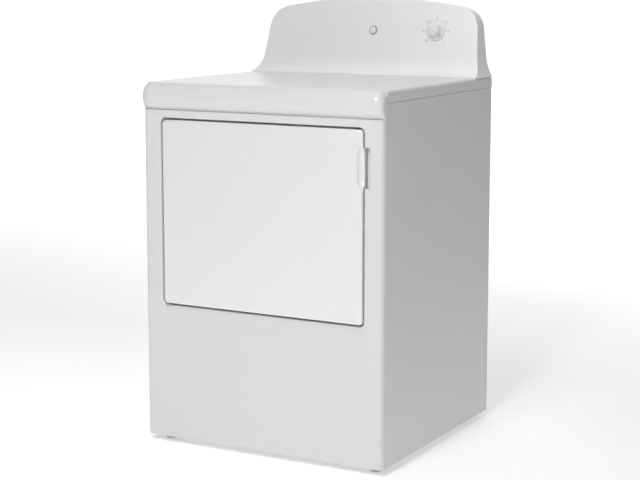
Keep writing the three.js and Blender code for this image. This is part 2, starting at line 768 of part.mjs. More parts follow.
function blowerWheel(grip) {
  const [x, z] = [motorX, motorHeight];
  const [y0, y1] = [frontBulkheadY + 10, frontBulkheadY + blowerDepth - 6];
  let wheel = cylinderY(wheelRadius, x, z, y1 - 3, y1, 36).add(cylinderY(14, x, z, y0 + 18, y1, 20));
  for (let i = 0; i < wheelBlades; i += 1) {
    const blade = box(-1, 1, y0, y1 - 1, wheelRadius - 26, wheelRadius - 1);
    wheel = wheel.add(blade.rotate([0, (360 * i) / wheelBlades, 0]).translate([x, 0, z]));
  }
  wheel = wheel.add(ringY(wheelRadius, wheelRadius - 8, x, z, y0, y0 + 3, 36));
  place('blower_wheel', wheel.subtract(cylinderY(grip, x, z, y0 - 1, y1 + 1, 16)), whitePlastic);
}

function ductOutline(inset) {
  const top = doorMidZ - throatHeight / 2 - sheet - touch - inset;
  const half = filterWidth / 2 + slotClearance + sheet - inset;
  const [x, z, r] = [motorX, motorHeight, inletRadius + 12 - inset];
  const bottomOfFilter = top - filterDepthDown - 14 + inset;
  return polygon([
    [-half, top], [-half, bottomOfFilter + 40], [x - r, z + 30], [x - r, z - r * 0.4],
    [x - r * 0.4, z - r], [x + r * 0.4, z - r], [x + r, z - r * 0.4], [half, bottomOfFilter], [half, top],
  ].reverse());
}

function lintDuct() {
  const y1 = frontBulkheadY - touch;
  const y0 = y1 - ductDepth;
  let duct = alongY(ductOutline(0), y0, y1).subtract(alongY(ductOutline(1.5), y0 + 1.5, y1 - 1.5));
  const floorZ = doorMidZ - throatHeight / 2;
  const [slotHalf, slotY] = [filterWidth / 2 + slotClearance - 0.5, filterThickness / 2 + slotClearance];
  duct = duct.subtract(
    box(-slotHalf, slotHalf, filterCentreY - slotY, filterCentreY + slotY, floorZ - 5, floorZ + 1),
  );
  duct = duct.subtract(cylinderY(inletRadius, motorX, motorHeight, y1 - 2, y1 + 1, 32));
  place('lint_duct', duct, galvanised);
}

function lintFilter() {
  const floorZ = doorMidZ - throatHeight / 2;
  const [half, t] = [filterWidth / 2, filterThickness / 2];
  const [z0, z1] = [floorZ - filterDepthDown, floorZ + touch];
  let frame = box(-half, half, filterCentreY - t, filterCentreY + t, z0, z1 + 1);
  for (const side of [-1, 1]) {
    for (const bay of [-1, 0, 1]) {
      const x = bay * (filterWidth - 12) / 3;
      const w = (filterWidth - 12) / 6 - 4;
      const [ya, yb] = [filterCentreY + side * 0.6, filterCentreY + side * (t + 1)];
      frame = frame.subtract(box(x - w, x + w, Math.min(ya, yb), Math.max(ya, yb), z0 + 10, z1 - 14));
    }
  }
  const lip = box(-half - 4, half + 4, filterCentreY - t - 4, filterCentreY + t + 4, z1, z1 + 3);
  const tab = box(-34, 34, filterCentreY - 1.5, filterCentreY + 1.5, z1 + 2, z1 + 16);
  place('lint_filter', frame.add(lip).add(tab), greyPlastic);
}

function exhaustPipe() {
  const y0 = frontBulkheadY + 3 + blowerDepth + touch;
  place(
    'exhaust_pipe', ringY(exhaustRadius, exhaustRadius - 1, 0, exhaustHeight, y0, totalDepth, 36),
    aluminised,
  );
}

// ---- Heating --------------------------------------------------------------------------------
function heater() {
  const y0 = rearBulkheadY + sheet + touch;
  const [x0, x1] = [heaterX - heaterWidth / 2, heaterX + heaterWidth / 2];
  const outer = box(x0, x1, y0, y0 + heaterDepth, heaterBottom, heaterTop);
  const inner = box(
    x0 + sheet, x1 - sheet, y0 - 1, y0 + heaterDepth - sheet, heaterBottom - 1, heaterTop - sheet,
  );
  place('heater_housing', outer.subtract(inner), aluminised);
  const path = new THREE.CurvePath();
  const [half, pitch, y] = [heaterWidth / 2 - 22, 34, y0 + heaterDepth / 2];
  const at = (x, z) => new THREE.Vector3(heaterX + x, y, z);
  for (let row = 0; row < 6; row += 1) {
    const [z, side] = [heaterBottom + 30 + row * pitch, row % 2 === 0 ? 1 : -1];
    path.add(new THREE.LineCurve3(at(-side * half, z), at(side * half, z)));
    if (row < 5) {
      path.add(
        new THREE.QuadraticBezierCurve3(
          at(side * half, z), at(side * (half + 14), z + pitch / 2), at(side * half, z + pitch),
        ),
      );
    }
  }
  const section = new THREE.Shape();
  section.absarc(0, 0, 5, 0, Math.PI * 2);
  const coil = new THREE.ExtrudeGeometry(
    section, { extrudePath: path, steps: 66, curveSegments: 3, bevelEnabled: false },
  );
  place('heater_element', solid(coil), steel);
  const cut = cylinderX(16, y, inletHeight - 60, x1 + touch, x1 + 12, 20);
  place('high_limit_thermostat', cut, blackPlastic);
}

function blowerSensors() {
  const y = frontBulkheadY + blowerDepth / 2;
  const top = exhaustHeight + exhaustRadius + 9 + touch;
  place('cycling_thermostat', cylinderZ(13, 35, y, top, top + 11, 20), blackPlastic);
  place('thermal_fuse', box(-14, 8, y - 8, y + 8, top, top + 8), whitePlastic);
}

// ---- Electrical -----------------------------------------------------------------------------
const terminalX = -230;
const terminalZ = 150;

function terminalHole() {
  return [terminalX - 30, terminalX + 30];
}

function terminals() {
  const y1 = rearInnerY - touch;
  place(
    'terminal_block', box(terminalX - 36, terminalX + 36, y1 - 24, y1, terminalZ - 30, terminalZ + 30),
    blackPlastic,
  );
  const y0 = bodyDepth + touch;
  const cover = box(terminalX - 44, terminalX + 44, y0, y0 + 26, terminalZ - 62, terminalZ + 40);
  const hollow = box(
    terminalX - 42.8, terminalX + 42.8, y0 - 1, y0 + 24.8, terminalZ - 60.8, terminalZ + 38.8,
  );
  const inlet = cylinderZ(11, terminalX, y0 + 13, terminalZ - 64, terminalZ - 58, 16);
  place('terminal_cover', cover.subtract(hollow).subtract(inlet), galvanised);
}

// ---- Console --------------------------------------------------------------------------------
const neckTop = worktopHeight + consoleNeck;
const faceTop = consoleTop - 13;
const consoleFaceAngle = Math.atan2(consoleLean, faceTop - neckTop);

function consoleFaceY(z) {
  return consoleFrontY() + consoleNeckSweep + (z - neckTop) * Math.tan(consoleFaceAngle);
}

// Side view: a hollow neck that sweeps back, a face that leans back and a rounded top.
function consoleProfile(inset, bottom, back) {
  const foot = consoleFrontY() + inset;
  const skin = inset / Math.cos(consoleFaceAngle);
  const faceBottom = consoleFaceY(neckTop) + skin;
  const faceEnd = consoleFaceY(faceTop) + skin;
  const shape = new THREE.Shape();
  shape.moveTo(foot, bottom);
  shape.lineTo(foot, worktopHeight + 2);
  shape.quadraticCurveTo(faceBottom - 6, worktopHeight + 12, faceBottom, neckTop);
  shape.lineTo(faceEnd, faceTop);
  shape.quadraticCurveTo(faceEnd + 4, consoleTop - inset, faceEnd + 16, consoleTop - inset);
  shape.lineTo(back, consoleTop - inset);
  shape.lineTo(back, bottom);
  return shape;
}

// One end of the front view, from the worktop up to the middle of the crown.
function consoleEnd(inset) {
  const [foot, waist] = [halfWidth - inset, halfWidth - consoleWaist - inset];
  const [end, top] = [halfWidth - consoleTaper - inset, consoleTop - inset];
  const shoulder = [end - consoleShoulder * 0.6, top - consoleCrown];
  return [
    { pull: null, to: [foot, worktopHeight + 2] },
    { pull: [waist + 4, worktopHeight + 22], to: [waist, neckTop] },
    { pull: null, to: [end, top - consoleShoulder] },
    { pull: [end - 4, top - consoleCrown - 12], to: shoulder },
    { pull: [end * 0.45, top], to: [0, top] },
  ];
}

function consoleOutline(inset, bottom) {
  const stations = consoleEnd(inset);
  const shape = new THREE.Shape();
  shape.moveTo(0, bottom);
  shape.lineTo(halfWidth - inset, bottom);
  for (const { pull, to } of stations) {
    if (pull) shape.quadraticCurveTo(...pull, ...to);
    else shape.lineTo(...to);
  }
  for (let i = stations.length - 1; i >= 0; i -= 1) {
    const [x, z] = i > 0 ? stations[i - 1].to : [halfWidth - inset, bottom];
    const { pull } = stations[i];
    if (pull) shape.quadraticCurveTo(-pull[0], pull[1], -x, z);
    else shape.lineTo(-x, z);
  }
  return shape;
}

function consoleForm(inset, bottom, back) {
  const form = alongX(consoleProfile(inset, bottom, back), -halfWidth, halfWidth, 5);
  return form.intersect(alongY(consoleOutline(inset, bottom - 1), 0, back + 1, 5));
}

// Moves a solid built along +Z onto the console face, pointing out of it.
function ontoFace(manifold, x, height) {
  const z = worktopHeight + height;
  return manifold
    .rotate([THREE.MathUtils.radToDeg(Math.PI / 2 - consoleFaceAngle), 0, 0])
    .translate([x, consoleFaceY(z), z]);
}

function consoleShell() {
  const bottom = worktopHeight - worktopStep + touch;
  const back = bodyDepth - 1;
  let fascia = consoleForm(0, bottom, back).subtract(consoleForm(consoleWall, bottom - 1, back + 1));
  fascia = fascia.subtract(ontoFace(cylinderZ(6, 0, 0, -12, 12), knobX, knobHeight));
  fascia = fascia.subtract(ontoFace(cylinderZ(buttonRadius + 0.8, 0, 0, -12, 12, 24), buttonX, knobHeight));
  place('console_fascia', fascia, enamel);
  const margin = consoleWall + touch;
  const slab = box(-halfWidth, halfWidth, back - 4 - sheet, back - 4, bottom, consoleTop);
  const cover = slab.intersect(alongY(consoleOutline(margin, bottom), 0, back + 1, 5));
  place('console_back_cover', cover, galvanised);
}

function consoleControls() {
  const skin = -consoleWall - touch;
  const body = box(-24, 24, -22, 22, skin - 26, skin - 1).add(box(-14, 14, -14, 14, skin - 2, skin));
  const shaftHole = cylinderZ(3.4, 0, 0, skin - 16, skin + 1, 12);
  place('timer_body', ontoFace(body.subtract(shaftHole), knobX, knobHeight), greyPlastic);
  place('timer_shaft', ontoFace(cylinderZ(3, 0, 0, skin - 14, 14, 12), knobX, knobHeight), steel);
  const skirt = cylinderZ(knobRadius, 0, 0, 1.2, 5, 36).add(cylinderZ(knobRadius - 7, 0, 0, 4, 22, 36));
  const pointer = box(-3, 3, 0, knobRadius - 3, 4, 23);
  const socket = cylinderZ(3.4, 0, 0, 0, 16, 12);
  place('timer_knob', ontoFace(skirt.add(pointer).subtract(socket), knobX, knobHeight), whitePlastic);
  const cap = cylinderZ(buttonRadius, 0, 0, -8, 5, 24);
  place('start_button', ontoFace(cap, buttonX, knobHeight), whitePlastic);
  const frame = box(-17, 17, -17, 17, skin - 26, skin);
  const well = cylinderZ(buttonRadius + 0.8, 0, 0, -14, 1, 24);
  place('start_switch', ontoFace(frame.subtract(well), buttonX, knobHeight), blackPlastic);
}

basePan();
levellingFeet();
sidePanel(-1);
sidePanel(1);
rearPanel();
topPanel();
frontPanel();
frontBulkhead();
rearBulkhead();
drumSeals();
drumGlide('left_drum_glide', -1);
drumGlide('right_drum_glide', 1);
drum();
drumRoller(-1);
drumRoller(1);
driveBelt();
motor();
motorRotor();
idler();
blowerHousing();
lintDuct();
lintFilter();
exhaustPipe();
heater();
blowerSensors();
terminals();
consoleShell();
consoleControls();
doorOuterPanel();
doorInnerPanel();
doorSeal();
doorHinge('upper_door_hinge', 1);
doorHinge('lower_door_hinge', -1);
doorStrikeAndCatch();
doorSwitch();
group.children.forEach((mesh) => {
  mesh.position.y -= totalDepth / 2;
});

export default group;
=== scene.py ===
"""Looks of a free-standing clothes dryer: enamelled cabinet, side-swing door, drum, console and works."""
import sys
import json
import logging
import math
from dataclasses import dataclass, field
from enum import Enum
from typing import Callable, Sequence

import bpy
from mathutils import Matrix, Vector


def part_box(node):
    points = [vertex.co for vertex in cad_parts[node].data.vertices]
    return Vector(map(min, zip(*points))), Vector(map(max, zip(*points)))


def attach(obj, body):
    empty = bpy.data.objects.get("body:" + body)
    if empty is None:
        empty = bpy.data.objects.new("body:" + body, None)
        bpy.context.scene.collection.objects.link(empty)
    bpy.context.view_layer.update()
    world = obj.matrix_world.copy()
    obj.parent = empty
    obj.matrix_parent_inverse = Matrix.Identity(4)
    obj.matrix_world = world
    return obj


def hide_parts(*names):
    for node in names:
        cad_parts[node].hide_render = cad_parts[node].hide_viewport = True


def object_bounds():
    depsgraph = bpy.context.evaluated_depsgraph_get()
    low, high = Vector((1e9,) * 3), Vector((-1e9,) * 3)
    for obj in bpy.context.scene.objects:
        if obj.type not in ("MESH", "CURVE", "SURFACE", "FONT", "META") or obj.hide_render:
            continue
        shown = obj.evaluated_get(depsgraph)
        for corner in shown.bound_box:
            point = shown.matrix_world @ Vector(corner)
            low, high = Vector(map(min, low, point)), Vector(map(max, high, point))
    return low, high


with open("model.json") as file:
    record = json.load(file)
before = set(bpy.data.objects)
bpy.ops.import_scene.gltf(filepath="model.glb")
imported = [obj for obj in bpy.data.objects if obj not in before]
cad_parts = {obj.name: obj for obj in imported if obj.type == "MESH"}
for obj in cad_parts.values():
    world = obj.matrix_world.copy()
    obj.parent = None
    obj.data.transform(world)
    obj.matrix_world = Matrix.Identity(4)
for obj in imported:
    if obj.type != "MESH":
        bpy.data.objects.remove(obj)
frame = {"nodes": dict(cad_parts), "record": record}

CAD_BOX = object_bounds()
MM = 0.001
FRONT = CAD_BOX[0][1]
WALL = 1.2
LOG = logging.getLogger("dryer")

Piece = bpy.types.Object
Spot = tuple[float, float, float]


def at(x: float, y: float, z: float) -> Vector:
    """Turns millimetres from the front of the machine into a point of the frame."""
    return Vector((x * MM, FRONT + y * MM, z * MM))


def edges_of(node: str) -> tuple[Vector, Vector]:
    """Gives a node's lowest and highest corners, in millimetres from the front.

    Args:
        node: the node's name.

    Returns:
        The lowest and the highest corner.
    """
    low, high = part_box(node)
    shift = Vector((0, FRONT, 0))
    return (Vector(low) - shift) / MM, (Vector(high) - shift) / MM


# ---- Modelling by hand ----------------------------------------------------------------------
def deselect() -> None:
    """Leaves edit mode and clears the selection."""
    if bpy.context.object and bpy.context.object.mode != "OBJECT":
        bpy.ops.object.mode_set(mode="OBJECT")
    bpy.ops.object.select_all(action="DESELECT")


def pick(piece: Piece) -> None:
    """Makes one piece the only selected and active one.

    Args:
        piece: the piece to select.
    """
    deselect()
    piece.select_set(True)
    bpy.context.view_layer.objects.active = piece


def edit(piece: Piece, action: str = "SELECT") -> None:
    """Enters edit mode on a piece with all of it selected, or none.

    Args:
        piece: the piece to edit.
        action: SELECT or DESELECT.
    """
    pick(piece)
    bpy.ops.object.mode_set(mode="EDIT")
    bpy.ops.mesh.select_all(action=action)


def settle(piece: Piece) -> Piece:
    """Merges doubles, turns the faces outwards and leaves edit mode.

    Args:
        piece: the piece to clean.

    Returns:
        The same piece.
    """
    edit(piece)
    bpy.ops.mesh.remove_doubles(threshold=1e-6)
    bpy.ops.mesh.normals_make_consistent(inside=False)
    bpy.ops.object.mode_set(mode="OBJECT")
    return piece


def select_faces(piece: Piece, test: Callable[[bpy.types.MeshPolygon], bool]) -> None:
    """Enters edit mode with only the faces that pass a test selected.

    Args:
        piece: the piece to edit.
        test: says whether a face is wanted.
    """
    edit(piece, "DESELECT")
    bpy.ops.mesh.select_mode(type="FACE")
    bpy.ops.object.mode_set(mode="OBJECT")
    for face in piece.data.polygons:
        face.select = test(face)
    bpy.ops.object.mode_set(mode="EDIT")


def trace(name: str, points: Sequence[Vector]) -> Piece:
    """Draws a line through points by extruding one vertex from each to the next.

    Args:
        name: the new piece's name.
        points: the corners of the line.

    Returns:
        The line, in object mode.
    """
    deselect()
    bpy.ops.mesh.primitive_plane_add(size=MM, location=points[0])
    piece = bpy.context.active_object
    piece.name = name
    bpy.ops.object.transform_apply(location=True, rotation=True, scale=True)
    edit(piece)
    bpy.ops.mesh.select_mode(type="VERT")
    bpy.ops.mesh.merge(type="CENTER")
    for here, there in zip(points, points[1:]):
        bpy.ops.mesh.extrude_vertices_move(TRANSFORM_OT_translate={"value": there - here})
    bpy.ops.object.mode_set(mode="OBJECT")
    return piece


def prism(name: str, points: Sequence[Vector], along: Vector) -> Piece:
    """Fills a closed outline and extrudes it into a solid.

    Args:
        name: the new piece's name.
        points: the outline's corners, without repeating the first.
        along: how far and which way to extrude.

    Returns:
        The closed solid.
    """
    piece = trace(name, points)
    edit(piece)
    bpy.ops.mesh.edge_face_add()
    bpy.ops.mesh.extrude_region_move(TRANSFORM_OT_translate={"value": along})
    return settle(piece)


def sheet(name: str, points: Sequence[Vector], along: Vector, thickness: float, side: float = 1) -> Piece:
    """Sweeps an open line into a sheet and gives it a wall.

    Args:
        name: the new piece's name.
        points: the line.
        along: how far and which way to sweep.
        thickness: the wall in millimetres.
        side: which side of the line the wall grows on, -1, 0 or 1.

    Returns:
        The sheet-metal piece.
    """
    piece = trace(name, points)
    edit(piece)
    bpy.ops.mesh.extrude_edges_move(TRANSFORM_OT_translate={"value": along})
    bpy.ops.mesh.select_all(action="SELECT")
    bpy.ops.mesh.normals_make_consistent(inside=False)
    bpy.ops.object.mode_set(mode="OBJECT")
    return thicken(piece, thickness, side)


def thicken(piece: Piece, thickness: float, side: float) -> Piece:
    """Adds and applies a wall to a sheet.

    Args:
        piece: the sheet.
        thickness: wall thickness in millimetres.
        side: solidify offset, -1 to 1.

    Returns:
        The same piece.
    """
    pick(piece)
    wall = piece.modifiers.new("wall", "SOLIDIFY")
    wall.thickness = thickness * MM
    wall.offset = side
    wall.use_even_offset = True
    bpy.ops.object.modifier_apply(modifier=wall.name)
    return piece


def boolean(piece: Piece, tool: Piece, operation: str) -> Piece:
    """Cuts, joins or trims a piece with a tool solid, and throws the tool away.

    Args:
        piece: the piece that is changed.
        tool: the solid that is used up.
        operation: DIFFERENCE, UNION or INTERSECT.

    Returns:
        The changed piece.
    """
    pick(piece)
    step = piece.modifiers.new("step", "BOOLEAN")
    step.object = tool
    step.operation = operation
    step.solver = "EXACT"
    bpy.ops.object.modifier_apply(modifier=step.name)
    bpy.data.objects.remove(tool, do_unlink=True)
    return piece


def cut(piece: Piece, tool: Piece) -> Piece:
    """Takes a tool solid out of a piece."""
    return boolean(piece, tool, "DIFFERENCE")


def join(piece: Piece, tool: Piece) -> Piece:
    """Welds a tool solid to a piece."""
    return boolean(piece, tool, "UNION")


def trim(piece: Piece, tool: Piece) -> Piece:
    """Keeps only what a piece shares with a tool solid."""
    return boolean(piece, tool, "INTERSECT")


def soften(piece: Piece, width: float, segments: int = 3, angle: float = 35) -> Piece:
    """Rounds a piece's sharp edges.

    Args:
        piece: the piece.
        width: the rounding in millimetres.
        segments: steps round each edge.
        angle: the least angle between faces that counts as an edge, in degrees.

    Returns:
        The same piece.
    """
    pick(piece)
    rounding = piece.modifiers.new("rounding", "BEVEL")
    rounding.width = width * MM
    rounding.segments = segments
    rounding.limit_method = "ANGLE"
    rounding.angle_limit = math.radians(angle)
    rounding.use_clamp_overlap = True
    rounding.miter_outer = "MITER_ARC"
    bpy.ops.object.modifier_apply(modifier=rounding.name)
    return piece


def polish(piece: Piece, angle: float = 32, weighted: bool = True) -> Piece:
    """Shades a piece smooth between its sharp edges.

    Args:
        piece: the piece to shade.
        angle: edges sharper than this stay sharp, in degrees.
        weighted: whether large faces steer the normals; left off for large faces with holes.

    Returns:
        The same piece.
    """
    pick(piece)
    bpy.ops.object.shade_smooth_by_angle(angle=math.radians(angle))
    if weighted:
        normals = piece.modifiers.new("normals", "WEIGHTED_NORMAL")
        normals.keep_sharp = True
        bpy.ops.object.modifier_apply(modifier=normals.name)
    return piece


def block(name: str, low: Spot, high: Spot) -> Piece:
    """Adds a box between two corners given in millimetres from the front.

    Args:
        name: the new piece's name.
        low: the lowest corner.
        high: the highest corner.

    Returns:
        The new box.
    """
    deselect()
    size = Vector(high) - Vector(low)
    bpy.ops.mesh.primitive_cube_add(size=1, location=at(*((Vector(low) + Vector(high)) / 2)), scale=size * MM)
    piece = bpy.context.active_object
    piece.name = name
    bpy.ops.object.transform_apply(location=True, rotation=True, scale=True)
    return piece


def rod(name: str, radius: float, start: Vector, end: Vector, facets: int = 32) -> Piece:
    """Adds a cylinder between two points of the frame, its radius in millimetres.

    Args:
        name: the new piece's name.
        radius: radius in millimetres.
        start: centre of one end, in metres.
        end: centre of the other end, in metres.
        facets: sides round the cylinder.

    Returns:
        The new cylinder.
    """
    deselect()
    turn = (end - start).to_track_quat("Z", "Y").to_euler()
    bpy.ops.mesh.primitive_cylinder_add(
        vertices=facets,
        radius=radius * MM,
        depth=(end - start).length,
        location=(start + end) / 2,
        rotation=turn,
    )
    piece = bpy.context.active_object
    piece.name = name
    bpy.ops.object.transform_apply(location=True, rotation=True, scale=True)
    return piece


def lathe(name: str, profile: Sequence[Vector], centre: Vector, axis: Vector, steps: int = 64) -> Piece:
    """Spins a line round an axis into a closed surface of revolution.

    Args:
        name: the new piece's name.
        profile: the line, starting and ending on the axis or closing on itself.
        centre: a point on the axis.
        axis: the axis's direction.
        steps: divisions round the turn.

    Returns:
        The turned piece.
    """
    piece = trace(name, profile)
    edit(piece)
    bpy.ops.mesh.spin(steps=steps, angle=2 * math.pi, center=centre, axis=axis)
    return settle(piece)


def arc(
    u: float,
    v: float,
    radius: float,
    start: float,
    end: float,
    steps: int = 8,
) -> list[tuple[float, float]]:
    """Lists points round an arc, angles in degrees."""
    angles = [math.radians(start + (end - start) * k / steps) for k in range(steps + 1)]
    return [(u + radius * math.cos(a), v + radius * math.sin(a)) for a in angles]


def bend(
    start: tuple[float, float],
    pull: tuple[float, float],
    end: tuple[float, float],
    steps: int = 8,
) -> list[tuple[float, float]]:
    """Lists points along a curve that leaves start and meets end, pulled towards a third point.

    Args:
        start: first point.
        pull: the point that draws the curve.
        end: last point.
        steps: divisions along the curve.

    Returns:
        The points, both ends included.
    """
    points = []
    for k in range(steps + 1):
        t = k / steps
        weights = ((1 - t) ** 2, 2 * t * (1 - t), t * t)
        points.append(tuple(sum(w * p[i] for w, p in zip(weights, (start, pull, end))) for i in (0, 1)))
    return points


def soft_rect(
    width: float,
    height: float,
    corner: float,
    u: float,
    v: float,
    steps: int = 8,
) -> list[tuple[float, float]]:
    """Lists the outline of a rectangle with rounded corners, anticlockwise.

    Args:
        width: full width.
        height: full height.
        corner: corner radius.
        u: centre, first axis.
        v: centre, second axis.
        steps: divisions in each corner.

    Returns:
        The outline's points.
    """
    r = max(0.2, corner)
    dx, dy = width / 2 - r, height / 2 - r
    corners = ((u + dx, v - dy, -90), (u + dx, v + dy, 0), (u - dx, v + dy, 90), (u - dx, v - dy, 180))
    return [p for cu, cv, a in corners for p in arc(cu, cv, r, a, a + 90, steps)]


@dataclass(frozen=True)
class Frontage:
    """A rounded rectangle facing the front, and its depths in millimetres."""

    width: float
    height: float
    corner: float
    centre_z: float
    centre_x: float = 0.0

    def outline(self, y: float, grow: float = 0.0) -> list[Vector]:
        """Lists the outline at a depth, grown by some millimetres."""
        shape = soft_rect(
            self.width + 2 * grow, self.height + 2 * grow, self.corner + grow, self.centre_x, self.centre_z
        )
        return [at(x, y, z) for x, z in shape]

    def body(self, name: str, back: float, front: float, grow: float = 0.0) -> Piece:
        """Extrudes the outline from a back depth to a front depth."""
        return prism(name, self.outline(back, grow), Vector((0, (front - back) * MM, 0)))

    def flared(
        self,
        name: str,
        back: float,
        face: float,
        radius: float,
        flare: float,
        grow: float = 0.0,
        steps: int = 6,
    ) -> Piece:
        """Extrudes the outline forward and rounds its front edge out or in.

        Args:
            name: the new piece's name.
            back: depth of the back face.
            face: depth of the front face.
            radius: the rounding.
            flare: 1 to spread outwards like a lip, -1 to draw in like a cushion's edge.
            grow: millimetres added all round.
            steps: steps in the rounding.

        Returns:
            The closed solid.
        """
        piece = self.body(name, back, face + radius, grow)
        width, height = self.width + 2 * grow, self.height + 2 * grow
        select_faces(
            piece, lambda f: f.normal.y < -0.9 and abs(f.center.y - at(0, face + radius, 0).y) < 1e-5
        )
        before, depth = 0.0, face + radius
        for k in range(1, steps + 1):
            angle = math.pi / 2 * k / steps
            spread = radius * (1 - math.cos(angle)) * flare
            now = face + radius * (1 - math.sin(angle))
            bpy.ops.mesh.extrude_region_move(TRANSFORM_OT_translate={"value": (0, (now - depth) * MM, 0)})
            ratio = (
                (width + 2 * spread) / (width + 2 * before), 1, (height + 2 * spread) / (height + 2 * before)
            )
            bpy.ops.transform.resize(value=ratio, center_override=at(self.centre_x, now, self.centre_z))
            before, depth = spread, now
        if flare > 0:
            bpy.ops.mesh.extrude_region_move(TRANSFORM_OT_translate={"value": (0, -8 * MM, 0)})
        return settle(piece)


def copy_piece(piece: Piece, name: str, move: Matrix) -> Piece:
    """Copies a piece with its own mesh and moves the mesh.

    Args:
        piece: the piece to copy.
        name: the copy's name.
        move: where the copy's mesh goes.

    Returns:
        The copy.
    """
    twin = piece.copy()
    twin.data = piece.data.copy()
    twin.name = name
    bpy.context.scene.collection.objects.link(twin)
    twin.data.transform(move)
    return twin


def merge_pieces(name: str, pieces: Sequence[Piece]) -> Piece:
    """Joins loose pieces into one object.

    Args:
        name: the merged object's name.
        pieces: the loose pieces.

    Returns:
        The merged object.
    """
    deselect()
    for piece in pieces:
        piece.select_set(True)
    bpy.context.view_layer.objects.active = pieces[0]
    bpy.ops.object.join()
    pieces[0].name = name
    return pieces[0]


# ---- Finishes -------------------------------------------------------------------------------
class Body(Enum):
    """The moving bodies that pieces ride on."""

    CABINET = "cabinet"
    DOOR = "door"
    TUMBLER = "tumbler"
    DIAL = "timer_dial"
    BUTTON = "start_push_button"
    FILTER = "filter"


class Grain(Enum):
    """How a finish's fine relief lies."""

    ORANGE_PEEL = "orange_peel"
    SPANGLE = "spangle"
    BRUSHED = "brushed"
    FELTED = "felted"
    MOULDED = "moulded"


@dataclass(frozen=True)
class Finish:
    """A procedural surface finish.

    Sizes of the grain and of the cloudiness are in waves per metre.
    """

    name: str
    colour: tuple[float, float, float]
    roughness: float
    metallic: float = 0.0
    grain: Grain = Grain.MOULDED
    grain_scale: float = 900.0
    relief: float = 0.05
    relief_depth: float = 0.0002
    cloud_scale: float = 6.0
    cloud: float = 0.04
    gloss_change: float = 0.1
    coat: float = 0.0
    coat_roughness: float = 0.1
    sheen: float = 0.0
    slot: str = ""
    stretch: Spot = (1.0, 1.0, 1.0)

    def material(self) -> bpy.types.Material:
        """Builds the material once and returns it on later calls."""
        made = bpy.data.materials.get(self.name)
        if made:
            return made
        made = bpy.data.materials.new(self.name)
        made.use_nodes = True
        tree = made.node_tree
        shader = tree.nodes["Principled BSDF"]
        shader.inputs["Metallic"].default_value = self.metallic
        shader.inputs["Coat Weight"].default_value = self.coat
        shader.inputs["Coat Roughness"].default_value = self.coat_roughness
        shader.inputs["Sheen Weight"].default_value = self.sheen
        place = tree.nodes.new("ShaderNodeTexCoord")
        mapping = tree.nodes.new("ShaderNodeMapping")
        mapping.inputs["Scale"].default_value = self.stretch
        tree.links.new(place.outputs["Object"], mapping.inputs["Vector"])
        cloud = self.noise(tree, mapping, self.cloud_scale, 3.0)
        self.tint(tree, shader, cloud)
        self.gloss(tree, shader, cloud)
        self.fine_relief(tree, shader, mapping)
        return made

    def noise(
        self,
        tree: bpy.types.NodeTree,
        mapping: bpy.types.Node,
        scale: float,
        detail: float,
    ) -> bpy.types.Node:
        """Adds a noise texture that reads the mapped place.

        Args:
            tree: the material's node tree.
            mapping: the node that gives the place.
            scale: the noise's scale.
            detail: the noise's detail.

        Returns:
            The new node.
        """
        node = tree.nodes.new("ShaderNodeTexNoise")
        node.inputs["Scale"].default_value = scale
        node.inputs["Detail"].default_value = detail
        tree.links.new(mapping.outputs["Vector"], node.inputs["Vector"])
        return node

    def tint(self, tree: bpy.types.NodeTree, shader: bpy.types.Node, cloud: bpy.types.Node) -> None:
        """Varies the colour a little from place to place.

        Args:
            tree: the material's node tree.
            shader: the shader node it feeds.
            cloud: the slow noise node that drives it.
        """
        ramp = tree.nodes.new("ShaderNodeValToRGB")
        low, high = ramp.color_ramp.elements
        low.position, high.position = 0.0, 1.0
        low.color = (*[c * (1 - self.cloud) for c in self.colour], 1)
        high.color = (*[min(1.0, c * (1 + self.cloud)) for c in self.colour], 1)
        tree.links.new(cloud.outputs["Fac"], ramp.inputs["Fac"])
        tree.links.new(ramp.outputs["Color"], shader.inputs["Base Color"])

    def gloss(self, tree: bpy.types.NodeTree, shader: bpy.types.Node, cloud: bpy.types.Node) -> None:
        """Varies the roughness a little from place to place.

        Args:
            tree: the material's node tree.
            shader: the shader node it feeds.
            cloud: the slow noise node that drives it.
        """
        spread = tree.nodes.new("ShaderNodeMapRange")
        spread.inputs["To Min"].default_value = max(0.02, self.roughness - self.gloss_change)
        spread.inputs["To Max"].default_value = min(1.0, self.roughness + self.gloss_change)
        tree.links.new(cloud.outputs["Fac"], spread.inputs["Value"])
        tree.links.new(spread.outputs["Result"], shader.inputs["Roughness"])

    def fine_relief(self, tree: bpy.types.NodeTree, shader: bpy.types.Node, mapping: bpy.types.Node) -> None:
        """Adds the grain's fine bumps.

        Args:
            tree: the material's node tree.
            shader: the shader node it feeds.
            mapping: the node that gives the place.
        """
        if self.grain is Grain.SPANGLE:
            grain = tree.nodes.new("ShaderNodeTexVoronoi")
            grain.inputs["Scale"].default_value = self.grain_scale
            tree.links.new(mapping.outputs["Vector"], grain.inputs["Vector"])
            height = grain.outputs["Distance"]
        else:
            detail = {Grain.FELTED: 6.0, Grain.BRUSHED: 2.0}.get(self.grain, 1.0)
            height = self.noise(tree, mapping, self.grain_scale, detail).outputs["Fac"]
        bump = tree.nodes.new("ShaderNodeBump")
        bump.inputs["Strength"].default_value = self.relief
        bump.inputs["Distance"].default_value = self.relief_depth
        tree.links.new(height, bump.inputs["Height"])
        tree.links.new(bump.outputs["Normal"], shader.inputs["Normal"])

    def dress(self, piece: Piece) -> Piece:
        """Gives a piece this finish.

        Args:
            piece: the piece to cover.

        Returns:
            The same piece.
        """
        piece.data.materials.clear()
        piece.data.materials.append(self.material())
        return piece


